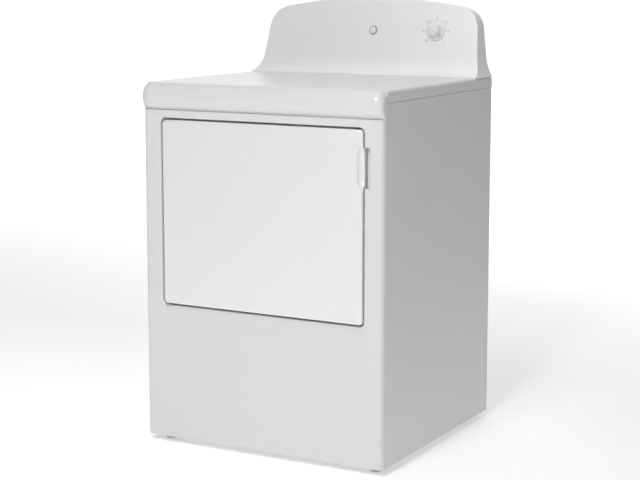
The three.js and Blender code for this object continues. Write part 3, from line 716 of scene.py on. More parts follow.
ENAMEL = Finish(
    "white_enamel", (0.735, 0.74, 0.745), 0.34, grain=Grain.ORANGE_PEEL, grain_scale=160, relief=0.05,
    relief_depth=0.0002, gloss_change=0.02, cloud=0.006, coat=0.15, coat_roughness=0.1, slot="cabinet_enamel",
)
DOOR_ENAMEL = Finish(
    "door_enamel", (0.735, 0.74, 0.745), 0.34, grain=Grain.ORANGE_PEEL, grain_scale=160, relief=0.05,
    relief_depth=0.0002, gloss_change=0.02, cloud=0.006, coat=0.15, coat_roughness=0.1, slot="door_enamel",
)
CONSOLE_ENAMEL = Finish(
    "console_enamel", (0.77, 0.775, 0.78), 0.38, grain=Grain.ORANGE_PEEL, grain_scale=220, relief=0.05,
    gloss_change=0.02, cloud=0.006, coat=0.15, slot="console_enamel",
)
LINER = Finish(
    "liner_enamel", (0.70, 0.715, 0.715), 0.38, grain=Grain.ORANGE_PEEL, grain_scale=200, relief=0.08,
    relief_depth=0.0002, gloss_change=0.03, cloud=0.02, coat=0.2, slot="liner_enamel",
)
ZINC = Finish(
    "galvanised_sheet", (0.60, 0.62, 0.635), 0.42, metallic=0.85, grain=Grain.SPANGLE, grain_scale=90,
    relief=0.12, cloud_scale=55, cloud=0.09, gloss_change=0.12, slot="galvanised_steel",
)
ALUMINISED = Finish(
    "aluminised_sheet", (0.70, 0.71, 0.71), 0.42, metallic=0.9, grain=Grain.BRUSHED, grain_scale=260,
    relief=0.2, cloud_scale=20, cloud=0.06, gloss_change=0.1, slot="aluminised_steel", stretch=(1, 0.12, 1),
)
STEEL = Finish(
    "plated_steel", (0.58, 0.58, 0.57), 0.38, metallic=1.0, grain=Grain.BRUSHED, grain_scale=500,
    relief=0.15, cloud_scale=60, cloud=0.05, gloss_change=0.08, slot="bright_steel", stretch=(1, 0.2, 1),
)
WIRE = Finish(
    "oxidised_wire", (0.20, 0.17, 0.16), 0.55, metallic=0.8, grain=Grain.BRUSHED, grain_scale=700,
    relief=0.3, cloud_scale=80, cloud=0.3, gloss_change=0.15, slot="heating_wire",
)
MOTOR_PAINT = Finish(
    "motor_paint", (0.035, 0.037, 0.04), 0.42, metallic=0.2, grain=Grain.ORANGE_PEEL, grain_scale=380,
    relief=0.3, cloud_scale=30, cloud=0.15, slot="motor_steel",
)
WHITE_PLASTIC = Finish(
    "white_plastic", (
        0.74, 0.75, 0.75
    ), 0.42, grain_scale=1400, relief=0.12, cloud=0.02, slot="white_plastic",
)
KNOB_PLASTIC = Finish(
    "gloss_white_plastic", (
        0.80, 0.805, 0.81
    ), 0.34, grain_scale=600, relief=0.04, gloss_change=0.03, cloud=0.01, coat=0.4,
    slot="knob_plastic",
)
GREY_PLASTIC = Finish(
    "grey_plastic", (0.22, 0.23, 0.235), 0.5, grain_scale=1500, relief=0.25, cloud=0.05, slot="grey_plastic",
)
BLACK_PLASTIC = Finish(
    "black_plastic", (
        0.02, 0.02, 0.022
    ), 0.45, grain_scale=1500, relief=0.25, cloud=0.08, slot="black_plastic",
)
FELT = Finish(
    "pressed_felt", (0.56, 0.535, 0.47), 0.95, grain=Grain.FELTED, grain_scale=1100, relief=0.9,
    relief_depth=0.0006, cloud_scale=90, cloud=0.12, sheen=0.4, slot="seal_felt",
)
RUBBER = Finish(
    "black_rubber", (0.018, 0.018, 0.018), 0.75, grain_scale=1300, relief=0.4, cloud_scale=60, cloud=0.15,
    slot="roller_rubber",
)
PRINT_GREY = Finish(
    "grey_print", (0.22, 0.23, 0.24), 0.5, grain_scale=1500, relief=0.1, cloud=0.03, slot="grey_plastic",
)
ALL_FINISHES = (
    ENAMEL, DOOR_ENAMEL, CONSOLE_ENAMEL, LINER, ZINC, ALUMINISED, STEEL, WIRE, MOTOR_PAINT, WHITE_PLASTIC,
    KNOB_PLASTIC, GREY_PLASTIC, BLACK_PLASTIC, FELT, RUBBER,
)


def hand_over(piece: Piece, body: Body, finish: Finish, *nodes: str) -> Piece:
    """Dresses a finished piece, fixes it to its body and hides the nodes that it stands for.

    Args:
        piece: the finished piece.
        body: the body it moves with.
        finish: its finish.
        nodes: the CAD nodes that it replaces.

    Returns:
        The same piece.
    """
    finish.dress(piece)
    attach(piece, body.value)
    if nodes:
        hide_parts(*nodes)
    LOG.info("%s: %d faces", piece.name, len(piece.data.polygons))
    return piece


# ---- Cabinet --------------------------------------------------------------------------------
@dataclass
class Cabinet:
    """The enamelled cabinet: front, sides, top, back and feet."""

    width: float = 686
    worktop: float = 936
    floor_gap: float = 18
    body_depth: float = 653
    brow_stand_off: float = 12
    brow_height: float = 56
    brow_round: float = 20
    brow_end: float = 26
    cove_height: float = 27
    cove_depth: float = 6
    corner: float = 14
    front_return: float = 30
    top_edge: float = 10
    lip: float = 5
    pocket: Frontage = Frontage(582, 482, 15, 606)
    throat: Frontage = Frontage(440, 380, 60, 606)
    pocket_floor: float = 40
    grip: Frontage = Frontage(25, 98, 6, 751, 294.5)
    grip_floor: float = 32

    def build(self) -> None:
        """Builds every cabinet piece."""
        self.front_panel()
        self.side_panel(-1)
        self.side_panel(1)
        self.top_panel()
        self.rear_panel()
        self.feet()

    def lower_form(self, inset: float, back: float) -> Piece:
        """Makes the flat lower front with its two rounded upright corners.

        Args:
            inset: how far inside the outer skin, in millimetres.
            back: depth of the shape's back, in millimetres from the front.

        Returns:
            The solid form.
        """
        half, front, r = self.width / 2 - inset, self.brow_stand_off + inset, self.corner - inset
        plan = [(-half, back)] + arc(-half + r, front + r, r, 180, 270)
        plan += arc(half - r, front + r, r, 270, 360)
        plan.append((half, back))
        low = self.floor_gap + inset
        top = self.worktop - self.brow_height - self.cove_height + 14
        return prism("front_lower", [at(x, y, low) for x, y in plan], Vector((0, 0, (top - low) * MM)))

    def brow_section(self, inset: float, back: float) -> list[tuple[float, float]]:
        """Lists the brow's section: cove, proud face and rounded top.

        Args:
            inset: how far inside the outer skin, in millimetres.
            back: depth of the shape's back, in millimetres from the front.

        Returns:
            Depth and height of each point.
        """
        top, face, deep = self.worktop, self.brow_stand_off + inset, self.cove_depth
        proud, under = top - 0.6 * self.brow_height, top - 1.16 * self.brow_height
        cove = top - self.brow_height - self.cove_height
        shape = [(back, cove)]
        shape += bend((face, cove), (face + deep + 3, cove + 7), (face + 1, under))
        shape += bend((face + 1, under), (inset, top - 1.02 * self.brow_height), (inset, proud))[1:]
        roll = self.brow_round + 10
        shape += bend((inset, proud), (inset + 3, top - inset), (roll, top - inset), 14)[1:]
        shape.append((back, top - inset))
        return shape

    def brow_form(self, inset: float, back: float) -> Piece:
        """Makes the brow along the whole width and draws its two ends in to a soft corner.

        Args:
            inset: how far inside the outer skin, in millimetres.
            back: depth of the shape's back, in millimetres from the front.

        Returns:
            The solid form.
        """
        reach = self.width / 2 - self.brow_end
        outline = [at(-reach, y, z) for y, z in self.brow_section(inset, back)]
        piece = prism("front_brow", outline, Vector((2 * reach * MM, 0, 0)))
        for side in (-1, 1):
            self.round_end(piece, side, inset, back)
        return settle(piece)

    def round_end(self, piece: Piece, side: int, inset: float, back: float, steps: int = 8) -> None:
        """Extrudes one end of the brow outwards in a quarter round.

        Args:
            piece: the brow.
            side: -1 for the left end, 1 for the right.
            inset: how far inside the outer skin, in millimetres.
            back: depth of the shape's back, in millimetres from the front.
            steps: divisions in the quarter round.
        """
        reach, radius = self.width / 2 - self.brow_end, self.brow_end - inset
        select_faces(piece, lambda f: f.normal.x * side > 0.9 and abs(f.center.x - side * reach * MM) < 1e-5)
        deep, tall = self.front_return, self.brow_height
        before, out = 0.0, 0.0
        for k in range(1, steps + 1):
            angle = math.pi / 2 * k / steps
            draw, now = self.brow_end * 0.62 * (1 - math.cos(angle)), radius * math.sin(angle)
            bpy.ops.mesh.extrude_region_move(
                TRANSFORM_OT_translate={"value": (side * (now - out) * MM, 0, 0)}
            )
            ratio = (1, (deep - draw) / (deep - before), (tall - draw) / (tall - before))
            anchor = at(side * (reach + now), back, self.worktop - self.brow_height)
            bpy.ops.transform.resize(value=ratio, center_override=anchor)
            before, out = draw, now

    def front_panel(self) -> None:
        """Makes the one-piece front with its brow, door pocket, finger grip and throat opening."""
        panel = join(self.lower_form(0, self.front_return), self.brow_form(0, self.front_return))
        hollow = join(
            self.lower_form(WALL, self.front_return + 1), self.brow_form(WALL, self.front_return + 1)
        )
        cut(panel, hollow)
        face = self.brow_stand_off
        join(
            panel, self.pocket.body("pocket_tub", self.pocket_floor + WALL, face + 0.6, WALL + 0.4 * self.lip)
        )
        join(panel, self.grip.body("grip_tub", self.grip_floor + WALL, face + 0.6, WALL + 1))
        cut(panel, self.pocket.flared("pocket_room", self.pocket_floor, face, self.lip, 1))
        cut(panel, self.grip.flared("grip_room", self.grip_floor, face, 3, 1))
        cut(panel, self.throat.body("throat_room", self.pocket_floor + 4, self.pocket_floor - 3))
        low, high = edges_of("door_strike")
        cut(panel, block("catch_slot", (low.x + 2, 36, low.z + 2), (high.x - 2, 46, high.z - 2)))
        low, high = edges_of("door_switch_plunger")
        middle = (low + high) / 2
        cut(panel, rod("switch_hole", 4, at(middle.x, 36, middle.z), at(middle.x, 46, middle.z)))
        panel.name = "front_panel_shell"
        polish(panel, 40, weighted=False)
        hand_over(panel, Body.CABINET, ENAMEL, "front_panel")

    def side_panel(self, side: int) -> None:
        """Folds one side sheet with rolled front and rear edges.

        Args:
            side: -1 for the left sheet, 1 for the right.
        """
        low, high = edges_of("left_side_panel" if side < 0 else "right_side_panel")
        outer, r, flange = self.width / 2, 3.0, 24.0
        plan = [(outer - flange, low.y)] + arc(outer - r, low.y + r, r, -90, 0, 5)
        plan += arc(outer - r, high.y - r, r, 0, 90, 5) + [(outer - flange, high.y)]
        points = [at(side * x, y, low.z) for x, y in plan]
        name = "side_sheet_left" if side < 0 else "side_sheet_right"
        panel = sheet(name, points, Vector((0, 0, (high.z - low.z) * MM)), WALL, -1)
        if max(v.co.x * side for v in panel.data.vertices) > outer * MM + 1e-4:
            panel.data.transform(Matrix.Translation((-side * WALL * MM, 0, 0)))
        polish(soften(panel, 0.3, 2, 60), 30)
        hand_over(panel, Body.CABINET, ENAMEL, "left_side_panel" if side < 0 else "right_side_panel")

    def top_panel(self) -> None:
        """Makes the worktop with rolled long edges and a turned-down skirt."""
        low, high = edges_of("top_panel")
        half, r = self.width / 2, self.top_edge
        section = [(-half, low.z)] + arc(
            -half + r, high.z - r, r, 180, 90
        ) + arc(half - r, high.z - r, r, 90, 0)
        section.append((half, low.z))
        lid = prism(
            "worktop_lid", [at(x, low.y, z) for x, z in section], Vector((0, (high.y - low.y) * MM, 0))
        )
        inner = block(
            "worktop_hollow",
            (-half + WALL, low.y + WALL, low.z - 1),
            (half - WALL, high.y - WALL, high.z - r),
        )
        cut(lid, inner)
        cut(
            lid,
            block(
                "worktop_hollow_2",
                (-half + r, low.y + WALL, high.z - r - 1),
                (half - r, high.y - WALL, high.z - WALL),
            ),
        )
        cut(lid, block("wiring_hole", (-40, high.y - 70, high.z - 20), (40, high.y - 40, high.z + 1)))
        polish(soften(lid, 0.8, 3, 50), 35)
        hand_over(lid, Body.CABINET, ENAMEL, "top_panel")

    def rear_panel(self) -> None:
        """Makes the zinc back with pressed fields, louvres, exhaust hole and screws."""
        low, high = edges_of("rear_panel")
        back = self.body_depth
        panel = block("rear_sheet", (low.x, low.y, low.z), (high.x, back, high.z))
        for centre_z, height in ((292, 190), (727, 260)):
            field_form = Frontage(560, height, 24, centre_z)
            raised = prism("pressed_field", field_form.outline(back - 0.4), Vector((0, 3.4 * MM, 0)))
            soften(raised, 2.4, 3, 60)
            join(panel, raised)
        holes = [rod("exhaust_hole", 53, at(0, back - 9, 88), at(0, back + 9, 88), 64)]
        for hole in holes:
            cut(panel, hole)
        low_t, high_t = edges_of("terminal_cover")
        cut(
            panel,
            block(
                "terminal_gap",
                (low_t.x + 14, back - 9, low_t.z + 38),
                (high_t.x - 14, back + 9, high_t.z - 16),
            ),
        )
        for row in range(5):
            z = 430 + row * 26
            cut(panel, block("louvre_gap", (-210, back - 9, z), (-90, back + 9, z + 8)))
            hood = rod("louvre_hood", 9, at(-212, back + 2.6, z + 8), at(-88, back + 2.6, z + 8), 24)
            cut(hood, block("hood_under", (-230, back - 20, z - 20), (-70, back + 30, z + 1)))
            cut(hood, rod("hood_bore", 7.8, at(-208, back + 2.6, z + 8), at(-92, back + 2.6, z + 8), 24))
            cut(hood, block("hood_inside", (-230, back - 20, z - 20), (-70, back + 1, z + 40)))
            join(panel, hood)
        polish(soften(panel, 0.25, 1, 60), 35)
        hand_over(panel, Body.CABINET, ZINC, "rear_panel")
        self.screws(back)

    def screws(self, back: float) -> None:
        """Drives hex screws round the edge of the back.

        Args:
            back: depth of the back's face, in millimetres from the front.
        """
        head = self.hex_screw(at(0, back, 0))
        places = [(side * 331, z) for side in (-1, 1) for z in (60, 270, 480, 690, 880)]
        places += [(x, 888) for x in (-160, 0, 160)]
        heads = [copy_piece(head, "screw", Matrix.Translation((x * MM, 0, z * MM))) for x, z in places]
        bpy.data.objects.remove(head, do_unlink=True)
        row = merge_pieces("rear_screws", heads)
        hand_over(polish(row, 30), Body.CABINET, STEEL)

    def hex_screw(self, seat: Vector) -> Piece:
        """Makes one washer-head hex screw standing out of the back.

        Args:
            seat: the point it sits on, in metres.

        Returns:
            The screw.
        """
        washer = rod(
            "screw_washer", 5.2, seat - Vector((0, 0.3 * MM, 0)), seat + Vector((0, 1.2 * MM, 0)), 24
        )
        hexagon = rod("screw_hex", 3.9, seat, seat + Vector((0, 4.2 * MM, 0)), 6)
        join(washer, hexagon)
        return soften(washer, 0.35, 2, 40)

    def feet(self) -> None:
        """Turns the four levelling feet with their threaded studs."""
        for corner in ("front_left", "front_right", "rear_left", "rear_right"):
            low, high = edges_of(f"{corner}_foot")
            x, y = (low.x + high.x) / 2, (low.y + high.y) / 2
            profile = [(0, 0), (14.5, 0), (16.6, 1.6), (17, 3), (16.2, 6), (11, 8.6), (6, 9)]
            pitch, turns = 2.0, 14
            for turn in range(turns):
                z = 10 + turn * pitch
                profile += [(3.7, z), (4.5, z + pitch / 2)]
            profile += [(3.7, 10 + turns * pitch), (3.2, high.z), (0, high.z)]
            points = [at(x + r, y, z) for r, z in profile]
            foot = lathe(f"{corner}_leveller", points, at(x, y, 0), Vector((0, 0, 1)), 40)
            polish(foot, 40, weighted=False)
            GREY_PLASTIC.dress(foot)
            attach(foot, f"{corner}_leg")
            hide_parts(f"{corner}_foot")


# ---- Door -----------------------------------------------------------------------------------
@dataclass
class Door:
    """The side-swing door: outer panel, liner and felt."""

    panel: Frontage = Frontage(572, 472, 10, 606)
    plug: Frontage = Frontage(400, 340, 50, 606)
    face: float = 12
    back: float = 34
    edge: float = 6
    plug_depth: float = 60
    scoop_radius: float = 26
    scoop_height: float = 60
    scoop_centre: float = 751

    def build(self) -> None:
        """Builds every door piece."""
        self.outer_panel()
        self.liner()
        self.seal()

    def scoop(self, grow: float) -> Piece:
        """Makes the rounded finger scoop taken out of the door's free edge.

        Args:
            grow: how much larger than the scoop itself, in millimetres.

        Returns:
            The solid to take out.
        """
        radius, half = self.scoop_radius + grow, self.scoop_height / 2
        x, y = self.panel.width / 2 + 8, self.face - 13
        cap = arc(0, half, radius, 0, 90, 10)
        profile = [(0, -half - radius)] + [(u, -v) for u, v in reversed(cap)] + cap
        points = [at(x + u, y, self.scoop_centre + v) for u, v in profile[1:]]
        return lathe("grip_scoop", points, at(x, y, self.scoop_centre), Vector((0, 0, 1)), 48)

    def outer_panel(self) -> None:
        """Presses the outer panel with soft edges and a finger scoop."""
        panel = self.panel.flared("door_face_panel", self.back, self.face, self.edge, -1)
        cut(panel, self.scoop(0))
        hollow = self.panel.flared("door_hollow", self.back + 1, self.face + WALL, self.edge, -1, -WALL)
        cut(hollow, self.scoop(WALL))
        cut(panel, hollow)
        for z in (self.panel.centre_z - self.panel.height / 2, self.panel.centre_z + self.panel.height / 2):
            cut(panel, rod("pin_hole", 3.4, at(-274, 18, z - 4), at(-274, 18, z + 4), 24))
        polish(soften(panel, 0.35, 2, 60), 40)
        hand_over(panel, Body.DOOR, DOOR_ENAMEL, "door_outer_panel")

    def liner(self) -> None:
        """Draws the liner with its raised plug and a dished middle."""
        low, high = edges_of("door_inner_panel")
        sheet_form = Frontage(high.x - low.x, high.z - low.z, 8, self.panel.centre_z)
        liner = sheet_form.body("door_liner_panel", low.y + WALL, low.y)
        plug = self.plug.body("plug", low.y + 0.2, self.plug_depth)
        select_faces(plug, lambda f: f.normal.y > 0.9 and f.center.y > at(0, 50, 0).y)
        bpy.ops.transform.resize(
            value=(0.955, 1, 0.945), center_override=at(0, self.plug_depth, self.plug.centre_z)
        )
        bpy.ops.mesh.inset(thickness=34 * MM, depth=0)
        bpy.ops.mesh.extrude_region_move(TRANSFORM_OT_translate={"value": (0, -9 * MM, 0)})
        bpy.ops.transform.resize(
            value=(0.97, 1, 0.965), center_override=at(0, self.plug_depth, self.plug.centre_z)
        )
        settle(plug)
        join(liner, plug)
        polish(soften(liner, 5, 4, 40), 40)
        hand_over(liner, Body.DOOR, LINER, "door_inner_panel")

    def seal(self) -> None:
        """Lays the felt round the plug as a soft rounded band."""
        low, high = edges_of("door_seal")
        outer = Frontage(high.x - low.x, high.z - low.z, 90, self.panel.centre_z)
        inner = Frontage(high.x - low.x - 30, high.z - low.z - 30, 75, self.panel.centre_z)
        band = outer.body("door_felt", high.y - 0.1, low.y + 0.1)
        cut(band, inner.body("felt_hole", high.y + 5, low.y - 5))
        polish(soften(band, 2.2, 4, 50), 60)
        hand_over(band, Body.DOOR, FELT, "door_seal")


# ---- Drum -----------------------------------------------------------------------------------
@dataclass
class Drum:
    """The tumbling drum, its lifters and the two bulkheads."""

    radius: float = 319
    centre: float = 590
    front: float = 100
    back: float = 560
    rib_height: float = 4
    facets: int = 96
    throat: Frontage = Frontage(440, 380, 60, 606)

    def build(self) -> None:
        """Builds every drum piece."""
        self.shell()
        self.lifters()
        self.front_bulkhead()
        self.rear_bulkhead()

    def ring(self, name: str, profile: Sequence[tuple[float, float]]) -> Piece:
        """Spins a (depth, radius) line round the drum's axis."""
        points = [at(0, y, self.centre + r) for y, r in profile]
        return lathe(name, points, at(0, 0, self.centre), Vector((0, 1, 0)), self.facets)

    def shell(self) -> None:
        """Rolls the drum with stiffening ribs and curled rims."""
        r, line = self.radius, []
        for y, sink in ((self.front, 0), (self.front + 6, 0), (self.front + 8, 1.0), (self.front + 10, 1.0)):
            line.append((y, r - sink))
        for y in (215, 290, 400, 475):
            line += [
                (y - 9, r - 1),
                (y - 5, r - 1 - self.rib_height),
                (y + 5, r - 1 - self.rib_height),
                (y + 9, r - 1),
            ]
        line += [(self.back - 10, r - 1), (self.back - 8, r - 1), (self.back - 6, r), (self.back, r)]
        inner = [(y, rad - 1.0) for y, rad in reversed(line)]
        shell = self.ring("drum_shell", line + inner + [line[0]])
        polish(shell, 40)
        hand_over(shell, Body.TUMBLER, LINER, "drum")

    def lifters(self) -> None:
        """Moulds one lifter with soft sloping ends and copies it round the drum."""
        low, high = edges_of("baffle_1")
        base, length = low.z, (low.y, high.y)
        section = [(-35, 0), (35, 0)] + bend((26, 12), (12, 40), (9, 70), 6) + arc(0, 69, 9, 0, 180, 6)
        section += bend((-9, 70), (-12, 40), (-26, 12), 6)
        lifter = prism(
            "lifter",
            [at(x, length[0], base + z) for x, z in section],
            Vector((0, (length[1] - length[0]) * MM, 0)),
        )
        for depth, way in ((length[0], -1), (length[1], 1)):
            edit(lifter)
            slope = Vector((0, way * 0.78, 0.62)).normalized()
            bpy.ops.mesh.bisect(
                plane_co=at(0, depth - way * 2, base + 4), plane_no=slope, use_fill=True, clear_outer=True,
            )
            settle(lifter)
        soften(lifter, 3, 3, 30)
        polish(lifter, 60)
        axis = Matrix.Translation(at(0, 0, self.centre))
        for i in range(3):
            turn = axis @ Matrix.Rotation(i * 2 * math.pi / 3, 4, "Y") @ axis.inverted()
            twin = copy_piece(lifter, f"lifter_{i + 1}", turn)
            hand_over(twin, Body.TUMBLER, WHITE_PLASTIC, f"baffle_{i + 1}")
        bpy.data.objects.remove(lifter, do_unlink=True)

    def plate(self, name: str, node: str, depth: float) -> Piece:
        """Makes a bulkhead's flat plate at a depth, as wide and tall as its node."""
        low, high = edges_of(node)
        return block(name, (low.x, depth, low.z), (high.x, depth + WALL, high.z))

    def collar(self, start: float, end: float) -> Piece:
        """Rolls the ring that the drum's felt runs on."""
        return self.ring(
            "felt_collar", [(start, 310), (end, 310), (end, 308.8), (start, 308.8), (start, 310)]
        )

    def front_bulkhead(self) -> None:
        """Makes the front bulkhead with its throat, filter slot and drum collar."""
        panel = self.plate("front_bulkhead_sheet", "front_bulkhead", 76)
        join(panel, self.collar(76.2, 128))
        join(panel, self.throat.body("throat_sleeve", 76.6, 41.6, WALL))
        cut(panel, self.throat.flared("throat_bore", 90, 42, 0.5, 1, steps=2))
        cut(panel, block("filter_slot", (-150.5, 63, 410), (150.5, 73, 418)))
        cut(panel, rod("air_hole", 62, at(-150, 70, 135), at(-150, 84, 135), 64))
        polish(soften(panel, 0.3, 2, 60), 40)
        hand_over(panel, Body.CABINET, LINER, "front_bulkhead")

    def rear_bulkhead(self) -> None:
        """Makes the rear bulkhead with its hot-air holes and drum collar."""
        panel = self.plate("rear_bulkhead_sheet", "rear_bulkhead", 562)
        join(panel, self.collar(528, 562.4))
        dish = self.ring("centre_dish", [(556, 0), (556, 70), (562.6, 84), (562.6, 0)])
        join(panel, dish)
        holes = [
            rod(
                "hole",
                4.2,
                at(150 + (i - 4.5) * 13, 550, 700 + (j - 4.5) * 13),
                at(150 + (i - 4.5) * 13, 570, 700 + (j - 4.5) * 13),
                12,
            )
            for i in range(10) for j in range(10) if math.hypot(i - 4.5, j - 4.5) < 5.2
        ]
        cut(panel, merge_pieces("hole_grid", holes))
        cut(panel, rod("pipe_hole", 53, at(0, 550, 88), at(0, 570, 88), 64))
        polish(panel, 30, weighted=False)
        hand_over(panel, Body.CABINET, LINER, "rear_bulkhead")


# ---- Console --------------------------------------------------------------------------------
@dataclass
class Console:
    """The raised console with its timer knob, start button and printed dial."""

    half: float = 343
    base: float = 936
    height: float = 206
    base_depth: float = 108
    depth: float = 653
    neck_sweep: float = 45
    lean: float = 34
    neck: float = 54
    waist: float = 17
    taper: float = 24
    shoulder: float = 82
    crown: float = 24
    wall: float = 2.5
    knob_x: float = 199
    button_x: float = 10
    control_height: float = 118
    knob_radius: float = 26
    slope: float = field(init=False)

    def __post_init__(self) -> None:
        """Works out how far the face leans back."""
        self.slope = math.atan2(self.lean, self.height - 13 - self.neck)

    def face_depth(self, z: float) -> float:
        """Gives the face's depth at a height."""
        start = self.depth - self.base_depth + self.neck_sweep
        return start + (z - self.base - self.neck) * math.tan(self.slope)

    def build(self) -> None:
        """Builds every console piece."""
        self.fascia()
        self.knob()
        self.button()
        self.print_dial()
        self.back_cover()

    def section(self, inset: float, back: float) -> list[tuple[float, float]]:
        """Lists the side section: neck, leaning face and rounded top.

        Args:
            inset: how far inside the outer skin, in millimetres.
            back: depth of the shape's back, in millimetres from the front.

        Returns:
            Depth and height of each point.
        """
        foot, low = self.depth - self.base_depth + inset, self.base - 1.7
        neck, top = self.base + self.neck, self.base + self.height
        skin = inset / math.cos(self.slope)
        bottom = self.face_depth(neck) + skin
        end = self.face_depth(top - 13) + skin
        shape = [(foot, low)]
        shape += bend((foot, self.base + 2), (bottom - 6, self.base + 12), (bottom, neck), 12)
        shape += bend((end, top - 13), (end + 4, top - inset), (end + 16, top - inset), 6)
        return shape + [(back, top - inset), (back, low)]

    def elevation(self, inset: float) -> list[tuple[float, float]]:
        """Lists the front outline: waisted ends, round shoulders and a low crown.

        Args:
            inset: how far inside the outer skin, in millimetres.

        Returns:
            Width and height of each point.
        """
        foot, waist = self.half - inset, self.half - self.waist - inset
        end, top = self.half - self.taper - inset, self.base + self.height - inset
        shoulder = (end - self.shoulder * 0.6, top - self.crown)
        side = bend((foot, self.base + 2), (waist + 4, self.base + 22), (waist, self.base + self.neck), 8)
        side += bend((end, top - self.shoulder), (end - 4, top - self.crown - 12), shoulder, 12)
        side += bend(shoulder, (end * 0.45, top), (0, top), 12)[1:]
        right = [(foot, self.base - 4)] + side
        return right + [(-x, z) for x, z in reversed(right[:-1])]

    def form(self, inset: float, back: float) -> Piece:
        """Makes the console's solid shape.

        Args:
            inset: how far inside the outer skin, in millimetres.
            back: depth of the shape's back, in millimetres from the front.

        Returns:
            The solid form.
        """
        outline = [at(-self.half, y, z) for y, z in self.section(inset, back)]
        solid = prism("console_form", outline, Vector((2 * self.half * MM, 0, 0)))
        face = [at(x, 500, z) for x, z in self.elevation(inset)]
        return trim(solid, prism("console_outline", face, Vector((0, 0.2, 0))))

    def onto_face(self, piece: Piece, x: float) -> Piece:
        """Moves a piece built at the origin along +Z onto the face, pointing out of it.

        Args:
            piece: the piece to move.
            x: its place across the face, in millimetres.

        Returns:
            The same piece.
        """
        z = self.base + self.control_height
        move = Matrix.Translation(at(x, self.face_depth(z), z))
        piece.data.transform(move @ Matrix.Rotation(math.pi / 2 - self.slope, 4, "X"))
        return piece

    def fascia(self) -> None:
        """Moulds the fascia with soft edges and holes for its controls."""
        shell = soften(self.form(0, self.depth - 1), 17, 7, 28)
        cut(shell, soften(self.form(self.wall, self.depth + 1), 15, 3, 28))
        hole = self.onto_face(
            rod("shaft_hole", 6, Vector((0, 0, -0.012)), Vector((0, 0, 0.012))), self.knob_x
        )
        cut(shell, hole)
        well = self.onto_face(
            rod("button_hole", 10.8, Vector((0, 0, -0.012)), Vector((0, 0, 0.012)), 48), self.button_x
        )
        cut(shell, well)
        shell.name = "console_shell"
        hand_over(polish(shell, 30), Body.CABINET, CONSOLE_ENAMEL, "console_fascia")

    def knob(self) -> None:
        """Turns the knob with a skirt and a raised finger bar."""
        r = self.knob_radius
        profile = [
            (0, 1.2),
            (r - 1, 1.2),
            (r, 2.2),
            (r - 0.6, 4.4),
            (r - 5, 6.2),
            (r - 8, 9),
            (r - 9, 19),
            (r - 11.5, 21),
            (0, 21.6),
        ]
        knob = lathe(
            "timer_dial_knob",
            [Vector((u * MM, 0, w * MM)) for u, w in profile],
            Vector(),
            Vector((0, 0, 1)),
            72,
        )
        deselect()
        bpy.ops.mesh.primitive_cube_add(size=1, location=(0, 0, 13 * MM), scale=(8.5 * MM, 41 * MM, 18 * MM))
        bar = bpy.context.active_object
        bpy.ops.object.transform_apply(location=True, rotation=True, scale=True)
        soften(bar, 3.4, 4, 30)
        join(knob, bar)
        deselect()
        bpy.ops.mesh.primitive_cube_add(
            size=1, location=(0, 16 * MM, 22.4 * MM), scale=(1.6 * MM, 12 * MM, 1.4 * MM)
        )
        groove = bpy.context.active_object
        bpy.ops.object.transform_apply(location=True, rotation=True, scale=True)
        cut(knob, groove)
        soften(knob, 0.5, 2, 30)
        turn = Matrix.Rotation(math.radians(-128), 4, "Z")
        knob.data.transform(turn)
        hand_over(polish(self.onto_face(knob, self.knob_x), 35), Body.DIAL, KNOB_PLASTIC, "timer_knob")
        deselect()
        bpy.ops.mesh.primitive_cube_add(
            size=1, location=(0, 16 * MM, 22.0 * MM), scale=(1.3 * MM, 11.4 * MM, 0.5 * MM)
        )
        line = bpy.context.active_object
        line.name = "knob_pointer_line"
        bpy.ops.object.transform_apply(location=True, rotation=True, scale=True)
        line.data.transform(turn)
        hand_over(self.onto_face(soften(line, 0.1, 1), self.knob_x), Body.DIAL, PRINT_GREY)

    def button(self) -> None:
        """Moulds the start button with a dished cap."""
        profile = [(0, -8), (9.6, -8), (9.6, 2.6), (9.0, 4.2), (7.6, 4.8), (5, 4.3), (0, 3.9)]
        cap = lathe(
            "start_cap", [Vector((u * MM, 0, w * MM)) for u, w in profile], Vector(), Vector((0, 0, 1)), 56
        )
        hand_over(polish(self.onto_face(cap, self.button_x), 50), Body.BUTTON, KNOB_PLASTIC, "start_button")
        rim = [(10.9, 0.0), (13.4, 0.0), (13.2, 1.0), (12.2, 1.5), (11.2, 1.1), (10.9, 0.0)]
        bezel = lathe(
            "start_bezel", [Vector((u * MM, 0, w * MM)) for u, w in rim], Vector(), Vector((0, 0, 1)), 56
        )
        hand_over(polish(self.onto_face(bezel, self.button_x), 50), Body.CABINET, GREY_PLASTIC)

    def print_dial(self) -> None:
        """Prints minute marks and numbers round the knob."""
        marks: list[Piece] = []
        for k in range(25):
            angle = math.radians(225 - 270 * k / 24)
            long = k % 4 == 0
            deselect()
            middle = (self.knob_radius + (5.2 if long else 4.4)) * MM
            bpy.ops.mesh.primitive_cube_add(size=1, scale=((4.2 if long else 2.6) * MM, 0.7 * MM, 0.16 * MM))
            mark = bpy.context.active_object
            bpy.ops.object.transform_apply(location=True, rotation=True, scale=True)
            mark.data.transform(Matrix.Rotation(angle, 4, "Z") @ Matrix.Translation((middle, 0, 0.1 * MM)))
            marks.append(mark)
            if long:
                marks.append(self.number(str(80 - 10 * (k // 4) - (20 if k == 24 else 0)), angle))
        printed = merge_pieces("dial_print", marks)
        hand_over(self.onto_face(printed, self.knob_x), Body.CABINET, PRINT_GREY)

